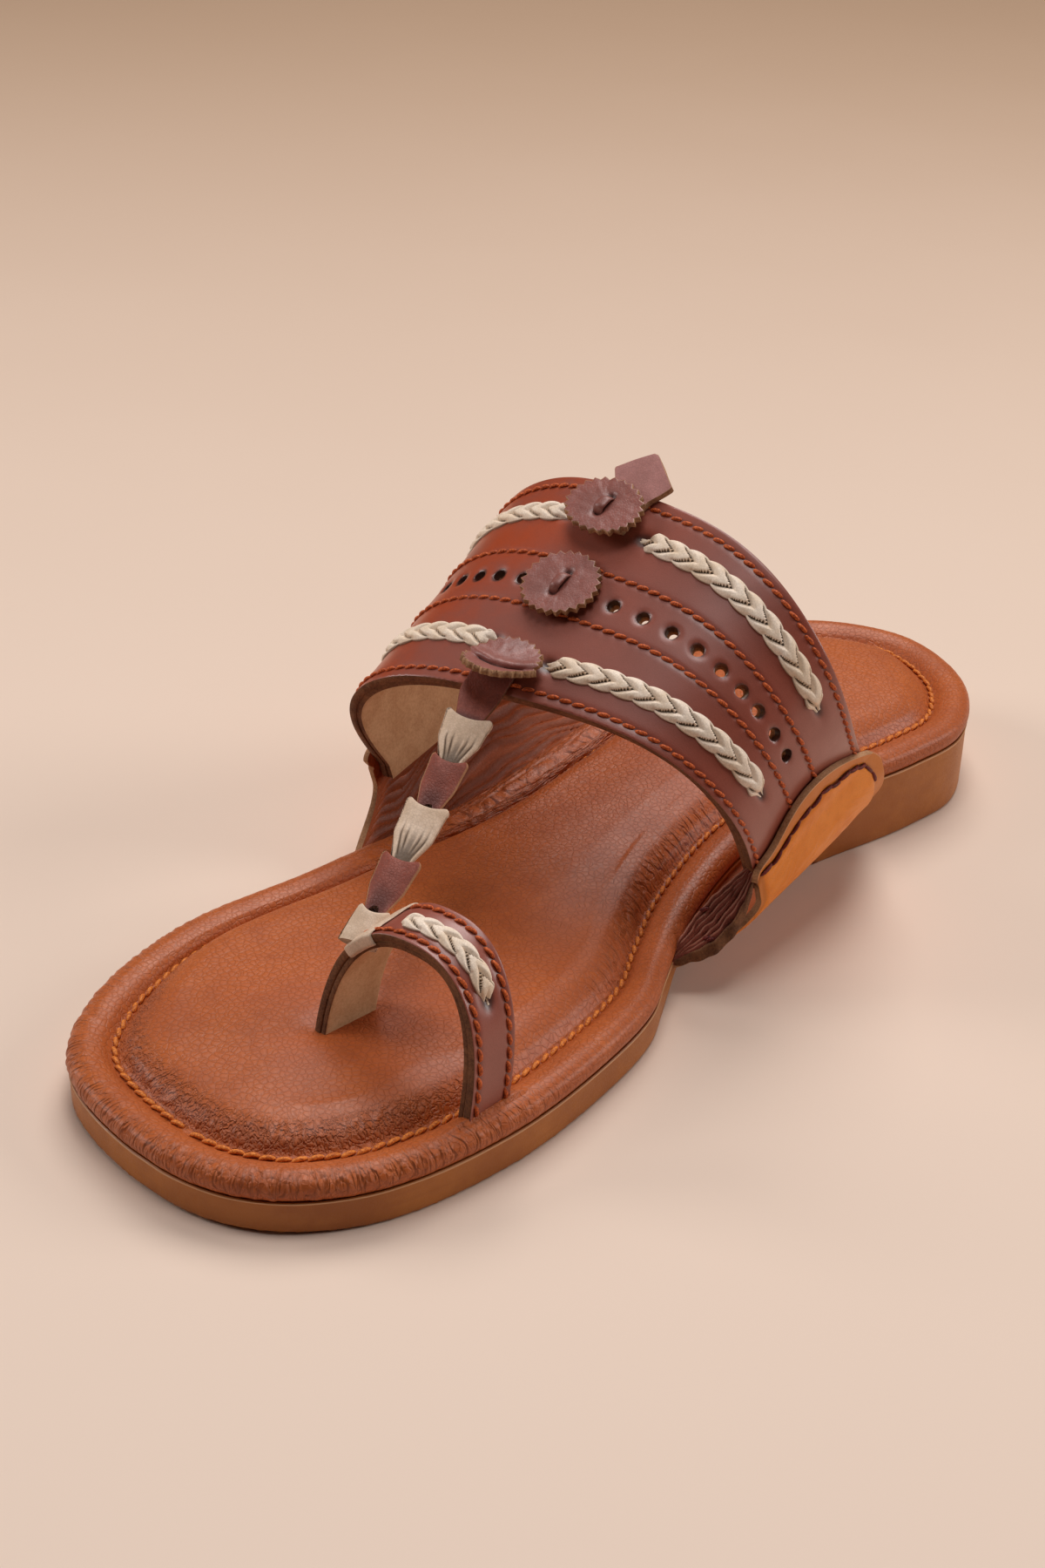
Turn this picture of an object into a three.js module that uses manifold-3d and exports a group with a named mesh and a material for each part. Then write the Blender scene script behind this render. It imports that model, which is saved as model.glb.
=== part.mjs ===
// A right-foot kolhapuri sandal with a padded footbed, a low heel, a wide instep band, a toe loop and
// a link chain that ties the two together. Millimetres, +Z up, toe towards -Y, inner (big toe) side
// towards +X. While the pieces are made, Y is counted from the toe tip; the group is centred at the end.
import * as THREE from "three";
import { mergeVertices } from "three/addons/utils/BufferGeometryUtils.js";
import Module from "manifold-3d";

const wasm = await Module();
wasm.setup();

// ---- Driving dimensions ----
const LENGTH = 277.3; // of the outsole, toe tip to heel
const INSTEP_FRONT = 64.6; // crown of the band's front edge above the ground
const INSTEP_BACK = 96.7; // crown of its back edge
const GAP = 0.3; // clearance between pieces that touch
const WALL = 2.4; // band and toe loop: face leather plus lining
const STRAP_WALL = 2.6; // the folded leather of the link chain
const FLAP_WALL = 2.0; // side flap: face leather plus facing
const TRIM_WALL = 1.6; // rosettes and the pointed tail
const BRAID_WALL = 2.0;
const FOREFOOT_SOLE = 7.3; // outsole height under the ball
const HEEL_SOLE = 17.7; // outsole height under the heel
const TOE_SPRING = 0.6;
const OUTLINE_STEPS = 84;

// Sole outline, right foot: half widths each side of the centre line, at distances from the toe tip.
const SOLE_STATIONS = [
  { fromToe: 6.5, inner: 31.5, outer: 25.0 },
  { fromToe: 24, inner: 46.5, outer: 39.5 },
  { fromToe: 56, inner: 54.0, outer: 47.2 },
  { fromToe: 90, inner: 52.4, outer: 43.2 },
  { fromToe: 108, inner: 48.6, outer: 41.3 },
  { fromToe: 120, inner: 42.6, outer: 38.5 },
  { fromToe: 138, inner: 34.6, outer: 35.2 },
  { fromToe: 164, inner: 29.0, outer: 33.6 },
  { fromToe: 190, inner: 30.2, outer: 34.2 },
  { fromToe: 226, inner: 37.4, outer: 36.4 },
  { fromToe: 246, inner: 37.8, outer: 35.6 },
  { fromToe: 267, inner: 24.5, outer: 25.0 },
];
const TOE_TIP = { x: 11, y: 0 };
const HEEL_TIP = { x: -0.5, y: LENGTH };
const WAIST = { start: 118, heelBreast: 194.5, front: 7.6, back: 10.4 }; // the hollow under the arch
const SPINE = { toe: { x: 4, y: 46 }, heel: { x: 0, y: 240 } }; // insets move towards this line

// Footbed section, from its underside up and in: inset from the outline and height above the outsole.
const FOOTBED_RINGS = [
  { inset: 1.2, height: 0 },
  { inset: 0.1, height: 1.0 },
  { inset: -0.8, height: 2.8 },
  { inset: 0.2, height: 4.7 },
  { inset: 3.0, height: 5.8 },
  { inset: 7.2, height: 5.0 },
  { inset: 9.6, height: 3.6 },
  { inset: 12.0, height: 5.2 },
  { inset: 17.0, height: 7.4 },
];

// Edge arches of the band and the loop. Each is a superellipse from the inner to the outer side:
// middle x, half width and how far the sides bulge; then the heights of its feet and crown; then y at
// its feet and how y leans and curls with height and skews with width.
const BAND_FRONT = {
  x: -1.2, half: 48.6, bulge: 1.9, power: 2.93, foot: 26.6, crown: INSTEP_FRONT,
  y: 133.5, lean: -0.64, curl: 0.28, skew: 0.23,
};
const BAND_BACK = {
  x: -3.3, half: 50.0, bulge: 4.9, power: 3.05, foot: 41.5, crown: INSTEP_BACK,
  y: 187.1, lean: -0.9, curl: 0.46, skew: -0.04,
};
const LOOP_FRONT = {
  x: 28.4, half: 21.4, bulge: 0, power: 2.42, foot: 14, crown: 44.8,
  y: 46.7, lean: 0.19, curl: 0, skew: 0.05,
};
const LOOP_BACK = {
  x: 29.2, half: 20.8, bulge: 0, power: 2.45, foot: 13.6, crown: 46.7,
  y: 59.7, lean: 0.17, curl: 0, skew: 0,
};
const BAND_TUCK = 4.5; // how far the band runs down inside the side flaps
const LOOP_TUCK = 5.8; // how far the loop runs down through the slits in the footbed

// Side flaps: where each starts and ends along the sole, and where it meets the band's lower corners.
const FLAPS = [
  { name: "side_flap_inner", side: 1, foot: 0, frontRoot: 125.5, backRoot: 208, belly: 13.5 },
  { name: "side_flap_outer", side: -1, foot: 1, frontRoot: 105.5, backRoot: 205, belly: 16 },
];
const FLAP_RISE = 0.095; // share of the band's length that a flap laps at its middle
const FLAP_TONGUE = 7; // how far a flap reaches in between footbed and outsole

// Trim on the band: v runs from the inner foot (0) to the outer foot (1), s from front (0) to back (1).
const TRIM_V = 0.541;
const ROSETTE = { radius: 9.8, tooth: 0.5, teeth: 20 };
const ROSETTES = [
  { name: "rosette_front", s: 0.075, lift: 0, tilt: 0.42 },
  { name: "rosette_middle", s: 0.503, lift: 0, tilt: 0 },
  { name: "rosette_back", s: 0.862, lift: TRIM_WALL + GAP, tilt: 0 },
];
const BRAIDS = [
  { name: "braid_front_inner", on: "band", from: { v: 0.135, s: 0.245 }, to: { v: 0.492, s: 0.17 } },
  { name: "braid_front_outer", on: "band", from: { v: 0.59, s: 0.205 }, to: { v: 0.88, s: 0.25 } },
  { name: "braid_back_inner", on: "band", from: { v: 0.163, s: 0.815 }, to: { v: 0.478, s: 0.815 } },
  { name: "braid_back_outer", on: "band", from: { v: 0.603, s: 0.825 }, to: { v: 0.86, s: 0.81 } },
  { name: "braid_toe_loop", on: "loop", from: { v: 0.275, s: 0.5 }, to: { v: 0.585, s: 0.42 } },
];
const BRAID_HALF_WIDTH = 3.1;
const CHAIN = {
  links: 6, half: 4.2, swell: 0.9, sag: 1.6,
  loop: { v: 0.69, s: 0.3 }, edge: { v: 0.556, s: -0.04 }, endS: 0.09,
};
const TAIL = { v: 0.525, half: 8.8, past: 3.5, point: 7.2 };

// ---- Small helpers ----
const lerp = (a, b, t) => a + (b - a) * t;
const clamp = (t) => Math.min(1, Math.max(0, t));
const smooth = (from, to, t) => {
  const u = clamp((t - from) / (to - from));
  return u * u * (3 - 2 * u);
};
const vec = (x, y, z) => new THREE.Vector3(x, y, z);

// A closed manifold-3d solid from points and triangles, turned so that its faces point outwards.
function solidFrom(points, triangles) {
  const geometry = new THREE.BufferGeometry();
  geometry.setAttribute("position", new THREE.Float32BufferAttribute(points.flatMap((p) => p.toArray()), 3));
  geometry.setIndex(triangles.flat());
  const merged = mergeVertices(geometry, 1e-4);
  const make = (triVerts) =>
    new wasm.Manifold(new wasm.Mesh({ numProp: 3, vertProperties: merged.attributes.position.array, triVerts }));
  const indices = new Uint32Array(merged.index.array);
  const made = make(indices);
  return made.volume() > 0 ? made : make(indices.reverse());
}

// A solid through closed rings of equal even length, stacked from the bottom up. The end caps of a long
// piece are laced across from side to side; those of a round one fan out from the middle.
function ringSolid(rings, round = false) {
  const count = rings[0].length;
  const triangles = [];
  for (let r = 0; r + 1 < rings.length; r++)
    for (let i = 0; i < count; i++) {
      const j = (i + 1) % count;
      const [a, b, c, d] = [r * count + i, r * count + j, (r + 1) * count + j, (r + 1) * count + i];
      triangles.push([a, b, c], [a, c, d]);
    }
  const last = (rings.length - 1) * count;
  if (round) {
    const middle = (ring) => ring.reduce((sum, p) => sum.add(p), vec(0, 0, 0)).divideScalar(count);
    const [low, high] = [rings.length * count, rings.length * count + 1];
    for (let i = 0; i < count; i++) {
      const j = (i + 1) % count;
      triangles.push([low, j, i], [high, last + i, last + j]);
    }
    return solidFrom([...rings.flat(), middle(rings[0]), middle(rings.at(-1))], triangles);
  }
  for (let k = 0; k < count / 2; k++) {
    const [a, b, c, d] = [k, k + 1, count - k - 1, (count - k) % count];
    if (b !== c) triangles.push([a, c, b], [last + a, last + b, last + c]);
    if (a !== d) triangles.push([a, d, c], [last + a, last + c, last + d]);
  }
  return solidFrom(rings.flat(), triangles);
}

// A closed solid between two grids of points of the same size, such as the two faces of a leather wall.
function slabSolid(top, bottom) {
  const rows = top.length;
  const columns = top[0].length;
  const at = (face, i, j) => face * rows * columns + i * columns + j;
  const triangles = [];
  const quad = (a, b, c, d) => triangles.push([a, b, c], [a, c, d]);
  for (let i = 0; i + 1 < rows; i++)
    for (let j = 0; j + 1 < columns; j++) {
      quad(at(0, i, j), at(0, i + 1, j), at(0, i + 1, j + 1), at(0, i, j + 1));
      quad(at(1, i, j), at(1, i, j + 1), at(1, i + 1, j + 1), at(1, i + 1, j));
    }
  for (let i = 0; i + 1 < rows; i++) {
    quad(at(0, i, 0), at(1, i, 0), at(1, i + 1, 0), at(0, i + 1, 0));
    quad(at(0, i + 1, columns - 1), at(1, i + 1, columns - 1), at(1, i, columns - 1), at(0, i, columns - 1));
  }
  for (let j = 0; j + 1 < columns; j++) {
    quad(at(0, 0, j + 1), at(1, 0, j + 1), at(1, 0, j), at(0, 0, j));
    quad(at(0, rows - 1, j), at(1, rows - 1, j), at(1, rows - 1, j + 1), at(0, rows - 1, j + 1));
  }
  return solidFrom([...top.flat(), ...bottom.flat()], triangles);
}

// The unit normal of a surface at (a, b), on the side where the first direction turns to the second.
function normalOf(surface, a, b, step = 0.004) {
  const along = surface(a + step, b).sub(surface(a - step, b));
  const across = surface(a, b + step).sub(surface(a, b - step));
  return along.cross(across).normalize();
}

// ---- The sole and its heights ----
const outlineCurve = new THREE.CatmullRomCurve3(
  [
    vec(TOE_TIP.x, TOE_TIP.y, 0),
    ...SOLE_STATIONS.map((row) => vec(row.inner, row.fromToe, 0)),
    vec(HEEL_TIP.x, HEEL_TIP.y, 0),
    ...SOLE_STATIONS.map((row) => vec(-row.outer, row.fromToe, 0)).reverse(),
  ],
  true,
  "centripetal",
);
// Outline points in pairs at the same distance from the toe, closer together at the toe and the heel.
const outlineFine = outlineCurve.getPoints(1600);
const heelIndex = outlineFine.reduce((best, p, i) => (p.y > outlineFine[best].y ? i : best), 0);
const SIDES = { inner: outlineFine.slice(0, heelIndex + 1), outer: outlineFine.slice(heelIndex).reverse() };

function edgeAt(y, side) {
  const points = SIDES[side];
  const i = Math.max(1, points.findIndex((p) => p.y >= y));
  const [a, b] = [points[i - 1], points[i]];
  return vec(lerp(a.x, b.x, clamp((y - a.y) / (b.y - a.y))), y, 0);
}
const rungs = Array.from(
  { length: OUTLINE_STEPS / 2 - 1 },
  (_, k) => (HEEL_TIP.y / 2) * (1 - Math.cos((2 * Math.PI * (k + 1)) / OUTLINE_STEPS)),
);
const outline = [
  vec(TOE_TIP.x, TOE_TIP.y, 0),
  ...rungs.map((y) => edgeAt(y, "inner")),
  vec(HEEL_TIP.x, HEEL_TIP.y, 0),
  ...rungs.map((y) => edgeAt(y, "outer")).reverse(),
];

// The boundary between outsole and footbed: flat under the ball, a ramp at the waist, flat at the heel.
const seamHeight = (y) => lerp(FOREFOOT_SOLE, HEEL_SOLE, smooth(104, 212, y));
const treadHeight = (y) => TOE_SPRING * (1 - smooth(0, 34, y));

function insetPoint(p, inset) {
  const along = clamp((p.y - SPINE.toe.y) / (SPINE.heel.y - SPINE.toe.y));
  const target = vec(lerp(SPINE.toe.x, SPINE.heel.x, along), lerp(SPINE.toe.y, SPINE.heel.y, along), 0);
  const towards = target.sub(p).normalize();
  return vec(p.x + towards.x * inset, p.y + towards.y * inset, 0);
}

function soleRing(inset, height) {
  return outline.map((p) => {
    const q = insetPoint(p, inset);
    q.z = height(q.y);
    return q;
  });
}

// The hollow under the waist, drawn from the side: it starts behind the ball, rises to the back and
// ends at the upright heel breast. It cuts right across the sole.
function waistHollow() {
  const ACROSS = 160;
  const BELOW = -5;
  const { start, heelBreast, front, back } = WAIST;
  const profile = new THREE.Shape();
  profile.moveTo(start, BELOW);
  profile.lineTo(start, 0);
  profile.quadraticCurveTo(start + 20, 0.82 * front, start + 40, front);
  profile.lineTo(heelBreast - 8.5, back);
  profile.quadraticCurveTo(heelBreast - 4.5, back, heelBreast - 3, 0.7 * back);
  profile.lineTo(heelBreast, 0);
  profile.lineTo(heelBreast, BELOW);
  const geometry = new THREE.ExtrudeGeometry(profile, { depth: ACROSS, bevelEnabled: false, curveSegments: 5 });
  geometry.rotateX(Math.PI / 2).rotateZ(Math.PI / 2); // (along, up, depth) to (depth, along, up)
  geometry.translate(-ACROSS / 2, 0, 0);
  return meshSolid(geometry);
}

function meshSolid(geometry) {
  const position = geometry.index ? geometry.toNonIndexed() : geometry;
  const at = position.attributes.position;
  const points = Array.from({ length: at.count }, (_, i) => vec(at.getX(i), at.getY(i), at.getZ(i)));
  const triangles = Array.from({ length: at.count / 3 }, (_, i) => [3 * i, 3 * i + 1, 3 * i + 2]);
  return solidFrom(points, triangles);
}

function outsoleSolid() {
  const blank = ringSolid([
    soleRing(0.5, treadHeight),
    soleRing(-0.1, (y) => treadHeight(y) + 0.8),
    soleRing(-0.1, (y) => seamHeight(y) - 0.8),
    soleRing(0.4, seamHeight),
  ]);
  return blank.subtract(waistHollow());
}

function footbedSolid() {
  return ringSolid(
    FOOTBED_RINGS.map((ring) => soleRing(ring.inset, (y) => seamHeight(y) + GAP + ring.height)),
  );
}

// ---- The upper: arches, and the ruled surface between two of them ----
function archPoint(arch, angle) {
  const [c, s] = [Math.cos(angle), Math.sin(angle)];
  const rise = Math.abs(s) ** (2 / arch.power);
  const half = arch.half + arch.bulge * Math.sin(Math.PI * rise);
  const dx = half * Math.sign(c) * Math.abs(c) ** (2 / arch.power);
  const dz = (arch.crown - arch.foot) * rise;
  const y = arch.y + arch.lean * dz + (arch.curl * dz * dz) / 50 + arch.skew * dx;
  return vec(arch.x + dx, y, arch.foot + dz);
}

// Points at even lengths along an arch, so that v is a share of its length. Beyond its feet, where v
// is below 0 or above 1, the arch runs on straight down.
function evenArch(arch) {
  const FINE = 1200;
  const fine = Array.from({ length: FINE + 1 }, (_, i) => archPoint(arch, (Math.PI * i) / FINE));
  const lengths = [0];
  for (let i = 1; i <= FINE; i++) lengths.push(lengths[i - 1] + fine[i].distanceTo(fine[i - 1]));
  const total = lengths.at(-1);
  const at = (v) => {
    const want = clamp(v) * total;
    let low = 0;
    let high = FINE;
    while (high - low > 1) {
      const middle = (low + high) >> 1;
      if (lengths[middle] <= want) low = middle;
      else high = middle;
    }
    const p = fine[low].clone().lerp(fine[high], (want - lengths[low]) / (lengths[high] - lengths[low]));
    const beyond = Math.max(-v, v - 1, 0) * total;
    p.z -= beyond;
    p.y -= arch.lean * beyond * 0.5;
    return p;
  };
  return { at, total };
}

function ruledSurface(front, back) {
  const [a, b] = [evenArch(front), evenArch(back)];
  return {
    length: (a.total + b.total) / 2,
    at: (v, s) => a.at(v).lerp(b.at(v), s),
    // A point held off the outer face by a distance.
    off(v, s, distance) {
      return this.at(v, s).addScaledVector(normalOf((p, q) => this.at(p, q), v, s), -distance);
    },
  };
}
const band = ruledSurface(BAND_FRONT, BAND_BACK);
const loop = ruledSurface(LOOP_FRONT, LOOP_BACK);
const ridgeLength = band.at(TRIM_V, 0).distanceTo(band.at(TRIM_V, 1));

// A wall on one of the surfaces, between two heights off its outer face.
function wallOn(surface, vs, ss, from, to) {
  const grid = (distance) => vs.map((v) => ss.map((s) => surface.off(v, s, distance)));
  return slabSolid(grid(to), grid(from));
}
const spread = (from, to, steps) => Array.from({ length: steps + 1 }, (_, i) => lerp(from, to, i / steps));

function bandWall() {
  const tuck = BAND_TUCK / band.length;
  const vs = [-tuck, -tuck / 2, ...spread(0, 1, 44), 1 + tuck / 2, 1 + tuck];
  return wallOn(band, vs, spread(0, 1, 3), -WALL, 0);
}

function loopWall(extra = 0, tuck = LOOP_TUCK) {
  const end = tuck / loop.length;
  const side = extra / loop.at(0, 0).distanceTo(loop.at(0, 1));
  return wallOn(loop, [-end, ...spread(0, 1, 24), 1 + end], spread(-side, 1 + side, 1), -WALL - extra, extra);
}

// The chain's centre line: off the loop's outer shoulder, up in a slack curve, over the band's front edge.
function chainPoint(t) {
  const from = loop.off(CHAIN.loop.v, CHAIN.loop.s, STRAP_WALL / 2 - 0.6);
  const to = band.off(CHAIN.edge.v, CHAIN.edge.s, STRAP_WALL / 2 - 0.2);
  const over = band.off(CHAIN.edge.v, CHAIN.endS, STRAP_WALL / 2 - 0.2);
  const OVER_SHARE = 0.91; // of the chain's length that hangs free; the rest lies on the band
  if (t > OVER_SHARE) return to.clone().lerp(over, (t - OVER_SHARE) / (1 - OVER_SHARE));
  const p = from.clone().lerp(to, t / OVER_SHARE);
  p.z -= CHAIN.sag * Math.sin((Math.PI * t) / OVER_SHARE);
  return p;
}

function chainSolid() {
  const STEPS = 48;
  const faces = [STRAP_WALL / 2, -STRAP_WALL / 2].map((height) =>
    spread(0, 1, STEPS).map((t) => {
      const p = chainPoint(t);
      const ahead = chainPoint(Math.min(1, t + 0.02)).sub(chainPoint(Math.max(0, t - 0.02))).normalize();
      const across = vec(0.2, 0, 1).cross(ahead).normalize();
      const up = ahead.clone().cross(across).normalize();
      const half = CHAIN.half + CHAIN.swell * Math.abs(Math.sin(Math.PI * CHAIN.links * t));
      return [-half, 0, half].map((d) => p.clone().addScaledVector(across, d).addScaledVector(up, height));
    }),
  );
  return slabSolid(faces[0], faces[1]);
}

// ---- Side flaps: leather that leaves the sole's seam, turns up and laps the band's lower edge ----
// u runs from the flap's front to its back. w runs from the end of the tongue inside the seam (0), by
// the sole's edge (TONGUE_SHARE) and the foot of the lap (LAP_SHARE), to the top edge (1).
const TONGUE_SHARE = 0.2;
const LAP_SHARE = 0.8;

function flapSurface(flap) {
  return (u, w) => {
    const rootY = lerp(flap.frontRoot, flap.backRoot, u);
    const edge = edgeAt(rootY, flap.side > 0 ? "inner" : "outer").x;
    const seam = seamHeight(rootY) - 0.1;
    if (w < TONGUE_SHARE) {
      return vec(edge - flap.side * FLAP_TONGUE * (1 - w / TONGUE_SHARE), rootY, seam);
    }
    const arc = Math.sin(Math.PI * clamp(u)) ** 0.8; // the top edge is a long low arc
    const topV = flap.foot + flap.side * (FLAP_RISE * arc - 0.02);
    const lowV = flap.foot - (flap.side * (BAND_TUCK + 1.5)) / band.length;
    const s = lerp(-0.03, 1.1, u);
    if (w > LAP_SHARE) return band.off(lerp(lowV, topV, (w - LAP_SHARE) / (1 - LAP_SHARE)), s, GAP);
    const low = band.off(lowV, s, GAP);
    const down = band.off(lowV - flap.side * 0.02, s, GAP).sub(low).normalize();
    const points = [
      vec(edge, rootY, seam),
      vec(edge + flap.side * (2 + flap.belly * arc), lerp(rootY, low.y, 0.15), seam - 0.6 * arc),
      low.clone().addScaledVector(down, Math.max(2, (low.z - seam) * 0.4)),
      low,
    ];
    return new THREE.CubicBezierCurve3(...points).getPoint((w - TONGUE_SHARE) / (LAP_SHARE - TONGUE_SHARE));
  };
}

function flapSolid(flap, extra = 0) {
  const surface = flapSurface(flap);
  const end = (1.3 * extra) / (flap.backRoot - flap.frontRoot);
  const us = [-end, ...spread(0, 1, 14).slice(1, -1), 1 + end];
  const tongueEnd = (-TONGUE_SHARE * extra) / FLAP_TONGUE;
  const ws = [tongueEnd, ...spread(TONGUE_SHARE, LAP_SHARE, 10), 0.9, 1];
  const grid = (distance) =>
    us.map((u) =>
      ws.map((w) => surface(u, w).addScaledVector(normalOf(surface, u, Math.min(w, 0.995)), flap.side * distance)),
    );
  return slabSolid(grid(-extra), grid(FLAP_WALL + extra));
}

// ---- Trim ----
function rosetteSolid(rosette) {
  const AROUND = 80;
  const RINGS = [0.5, 1];
  const face = (distance) =>
    RINGS.map((share) =>
      spread(0, 1, AROUND).slice(0, AROUND).map((turn) => {
        const angle = 2 * Math.PI * turn;
        const toothed = ROSETTE.radius + ROSETTE.tooth * Math.cos(ROSETTE.teeth * angle);
        const r = share * toothed;
        const s = rosette.s + (r * Math.sin(angle)) / ridgeLength;
        const lifted = rosette.lift + rosette.tilt * (ROSETTE.radius - r * Math.sin(angle));
        return band.off(TRIM_V - (r * Math.cos(angle)) / band.length, s, GAP + lifted + distance);
      }),
    );
  const [top, bottom] = [face(TRIM_WALL), face(0)];
  return ringSolid([...bottom, ...top.reverse()], true);
}

function braidSolid({ on, from, to }) {
  const surface = { band, loop }[on];
  const STEPS = Math.round(((to.v - from.v) * surface.length) / 4);
  const half = BRAID_HALF_WIDTH / surface.at(0.5, 0).distanceTo(surface.at(0.5, 1));
  const face = (distance) =>
    spread(0, 1, STEPS).map((t) =>
      spread(-half, half, 2).map((d) => surface.off(lerp(from.v, to.v, t), lerp(from.s, to.s, t) + d, distance)),
    );
  return slabSolid(face(GAP + BRAID_WALL), face(GAP));
}

function tailSolid() {
  const shoulder = 1 + TAIL.past / ridgeLength;
  const stations = [...spread(0.9, shoulder, 3), shoulder + TAIL.point / ridgeLength];
  const face = (distance) =>
    stations.map((s) => {
      const half = s > shoulder + 0.01 ? 0.6 : TAIL.half;
      return [-1, 0, 1].map((k) => band.off(TAIL.v + (k * half) / band.length, s, GAP + distance));
    });
  return slabSolid(face(TRIM_WALL), face(0));
}

// ---- Assembly ----
const LEATHERS = {
  sole: { color: 0x9a5c26, roughness: 0.55, metalness: 0 },
  footbed: { color: 0x93481f, roughness: 0.5, metalness: 0 },
  upper: { color: 0x6a3328, roughness: 0.4, metalness: 0 },
  flap: { color: 0xb9691d, roughness: 0.5, metalness: 0 },
  trim: { color: 0x6c3a34, roughness: 0.6, metalness: 0 },
  braid: { color: 0xd9c3a0, roughness: 0.6, metalness: 0 },
};
const sandal = new THREE.Group();
sandal.name = "kolhapuri_sandal";

function addPiece(name, solid, leather) {
  const { vertProperties, triVerts } = solid.getMesh();
  const geometry = new THREE.BufferGeometry();
  geometry.setAttribute("position", new THREE.BufferAttribute(new Float32Array(vertProperties), 3));
  geometry.setIndex(new THREE.BufferAttribute(new Uint32Array(triVerts), 1));
  geometry.computeVertexNormals();
  const mesh = new THREE.Mesh(geometry, new THREE.MeshStandardMaterial(LEATHERS[leather]));
  mesh.name = name;
  sandal.add(mesh);
}

const flapRecesses = FLAPS.map((flap) => flapSolid(flap, GAP));
const loopSlits = loopWall(GAP, LOOP_TUCK + 1.5);
let outsole = outsoleSolid();
let footbed = footbedSolid().subtract(loopSlits);
for (const recess of flapRecesses) {
  outsole = outsole.subtract(recess);
  footbed = footbed.subtract(recess);
}
addPiece("outsole", outsole, "sole");
addPiece("footbed", footbed, "footbed");
addPiece("upper", bandWall().add(loopWall()).add(chainSolid()), "upper");
for (const flap of FLAPS) addPiece(flap.name, flapSolid(flap), "flap");
for (const rosette of ROSETTES) addPiece(rosette.name, rosetteSolid(rosette), "trim");
for (const braid of BRAIDS) addPiece(braid.name, braidSolid(braid), "braid");
addPiece("strap_tail", tailSolid(), "trim");

// The part's origin is the middle of its bounding box, on the ground.
const bounds = new THREE.Box3().setFromObject(sandal);
sandal.position.set(-(bounds.min.x + bounds.max.x) / 2, -(bounds.min.y + bounds.max.y) / 2, -bounds.min.z);

export default sandal;
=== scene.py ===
"""The looks of a right-foot kolhapuri sandal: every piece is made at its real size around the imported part."""
import math
import random

import bmesh
import bpy
import numpy as np
from mathutils import Matrix, Vector, noise


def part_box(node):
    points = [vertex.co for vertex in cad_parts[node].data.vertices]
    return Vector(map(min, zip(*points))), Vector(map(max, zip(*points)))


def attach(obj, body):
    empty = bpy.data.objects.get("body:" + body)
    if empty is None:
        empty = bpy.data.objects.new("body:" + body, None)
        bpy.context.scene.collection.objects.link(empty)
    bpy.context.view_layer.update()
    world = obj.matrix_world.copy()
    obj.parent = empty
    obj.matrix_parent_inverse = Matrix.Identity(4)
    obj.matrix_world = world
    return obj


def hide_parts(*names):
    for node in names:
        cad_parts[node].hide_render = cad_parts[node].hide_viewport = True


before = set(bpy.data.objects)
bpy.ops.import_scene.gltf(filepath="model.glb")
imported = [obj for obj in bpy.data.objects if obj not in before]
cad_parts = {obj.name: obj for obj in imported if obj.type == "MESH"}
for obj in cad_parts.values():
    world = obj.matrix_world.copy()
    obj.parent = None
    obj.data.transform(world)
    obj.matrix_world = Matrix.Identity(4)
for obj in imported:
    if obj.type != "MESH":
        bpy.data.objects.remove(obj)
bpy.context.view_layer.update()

# ---- Outsole ----
# A caramel rubber unit sole, moulded in one piece: thin under the ball, a low heel, a hollow under the
# waist. A thin pale line runs along its upper lip; the tread edge has flash.
mm = 0.001
SOLE_LENGTH = 277.3
FOREFOOT_SOLE = 7.3
HEEL_SOLE = 17.7
TOE_SPRING = 0.6
TOE_TIP = (11.0, 0.0)
HEEL_TIP = (-0.5, SOLE_LENGTH)
SPINE_TOE = (4.0, 46.0)
SPINE_HEEL = (0.0, 240.0)
SOLE_STATIONS = [  # from the toe, half width on the inner side, half width on the outer side
    (6.5, 31.5, 25.0), (24, 46.5, 39.5), (56, 54.0, 47.2), (90, 52.4, 43.2), (108, 48.6, 41.3),
    (120, 42.6, 38.5), (138, 34.6, 35.2), (164, 29.0, 33.6), (190, 30.2, 34.2), (226, 37.4, 36.4),
    (246, 37.8, 35.6), (267, 24.5, 25.0),
]
outsole_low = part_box("outsole")[0]
OUTERMOST = 47.353  # from the middle of the toe to the outsole's outer side, where it is widest
FOREMOST = 0.0985  # how far the outsole reaches in front of TOE_TIP
shoe_origin = np.array([outsole_low.x / mm + OUTERMOST, outsole_low.y / mm + FOREMOST, 0.0])


def curve_through(points, count, closed=False):
    """Evenly spaced points on a smooth curve through the given ones."""
    points = np.array(points, float)
    if closed:
        knots = np.vstack([points[-1:], points, points[:2]])
    else:
        knots = np.vstack([2 * points[0] - points[1], points, 2 * points[-1] - points[-2]])
    t = np.linspace(0, 1, 60, endpoint=False)[:, None]
    fine = []
    for a, b, c, d in zip(knots, knots[1:], knots[2:], knots[3:]):
        ab, bc, cd = (max(np.linalg.norm(q - p) ** 0.5, 1e-4) for p, q in ((a, b), (b, c), (c, d)))
        leave = bc * ((b - a) / ab - (c - a) / (ab + bc) + (c - b) / bc)
        arrive = bc * ((c - b) / bc - (d - b) / (bc + cd) + (d - c) / cd)
        fine.append(
            b + leave * t + (3 * (c - b) - 2 * leave - arrive) * t**2 + (2 * (b - c) + leave + arrive) * t**3
        )
    fine = np.vstack([*fine, points[:1] if closed else points[-1:]])
    length = np.concatenate([[0], np.cumsum(np.linalg.norm(np.diff(fine, axis=0), axis=1))])
    even = np.linspace(0, length[-1], count)
    return np.column_stack([np.interp(even, length, fine[:, k]) for k in range(fine.shape[1])])


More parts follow.
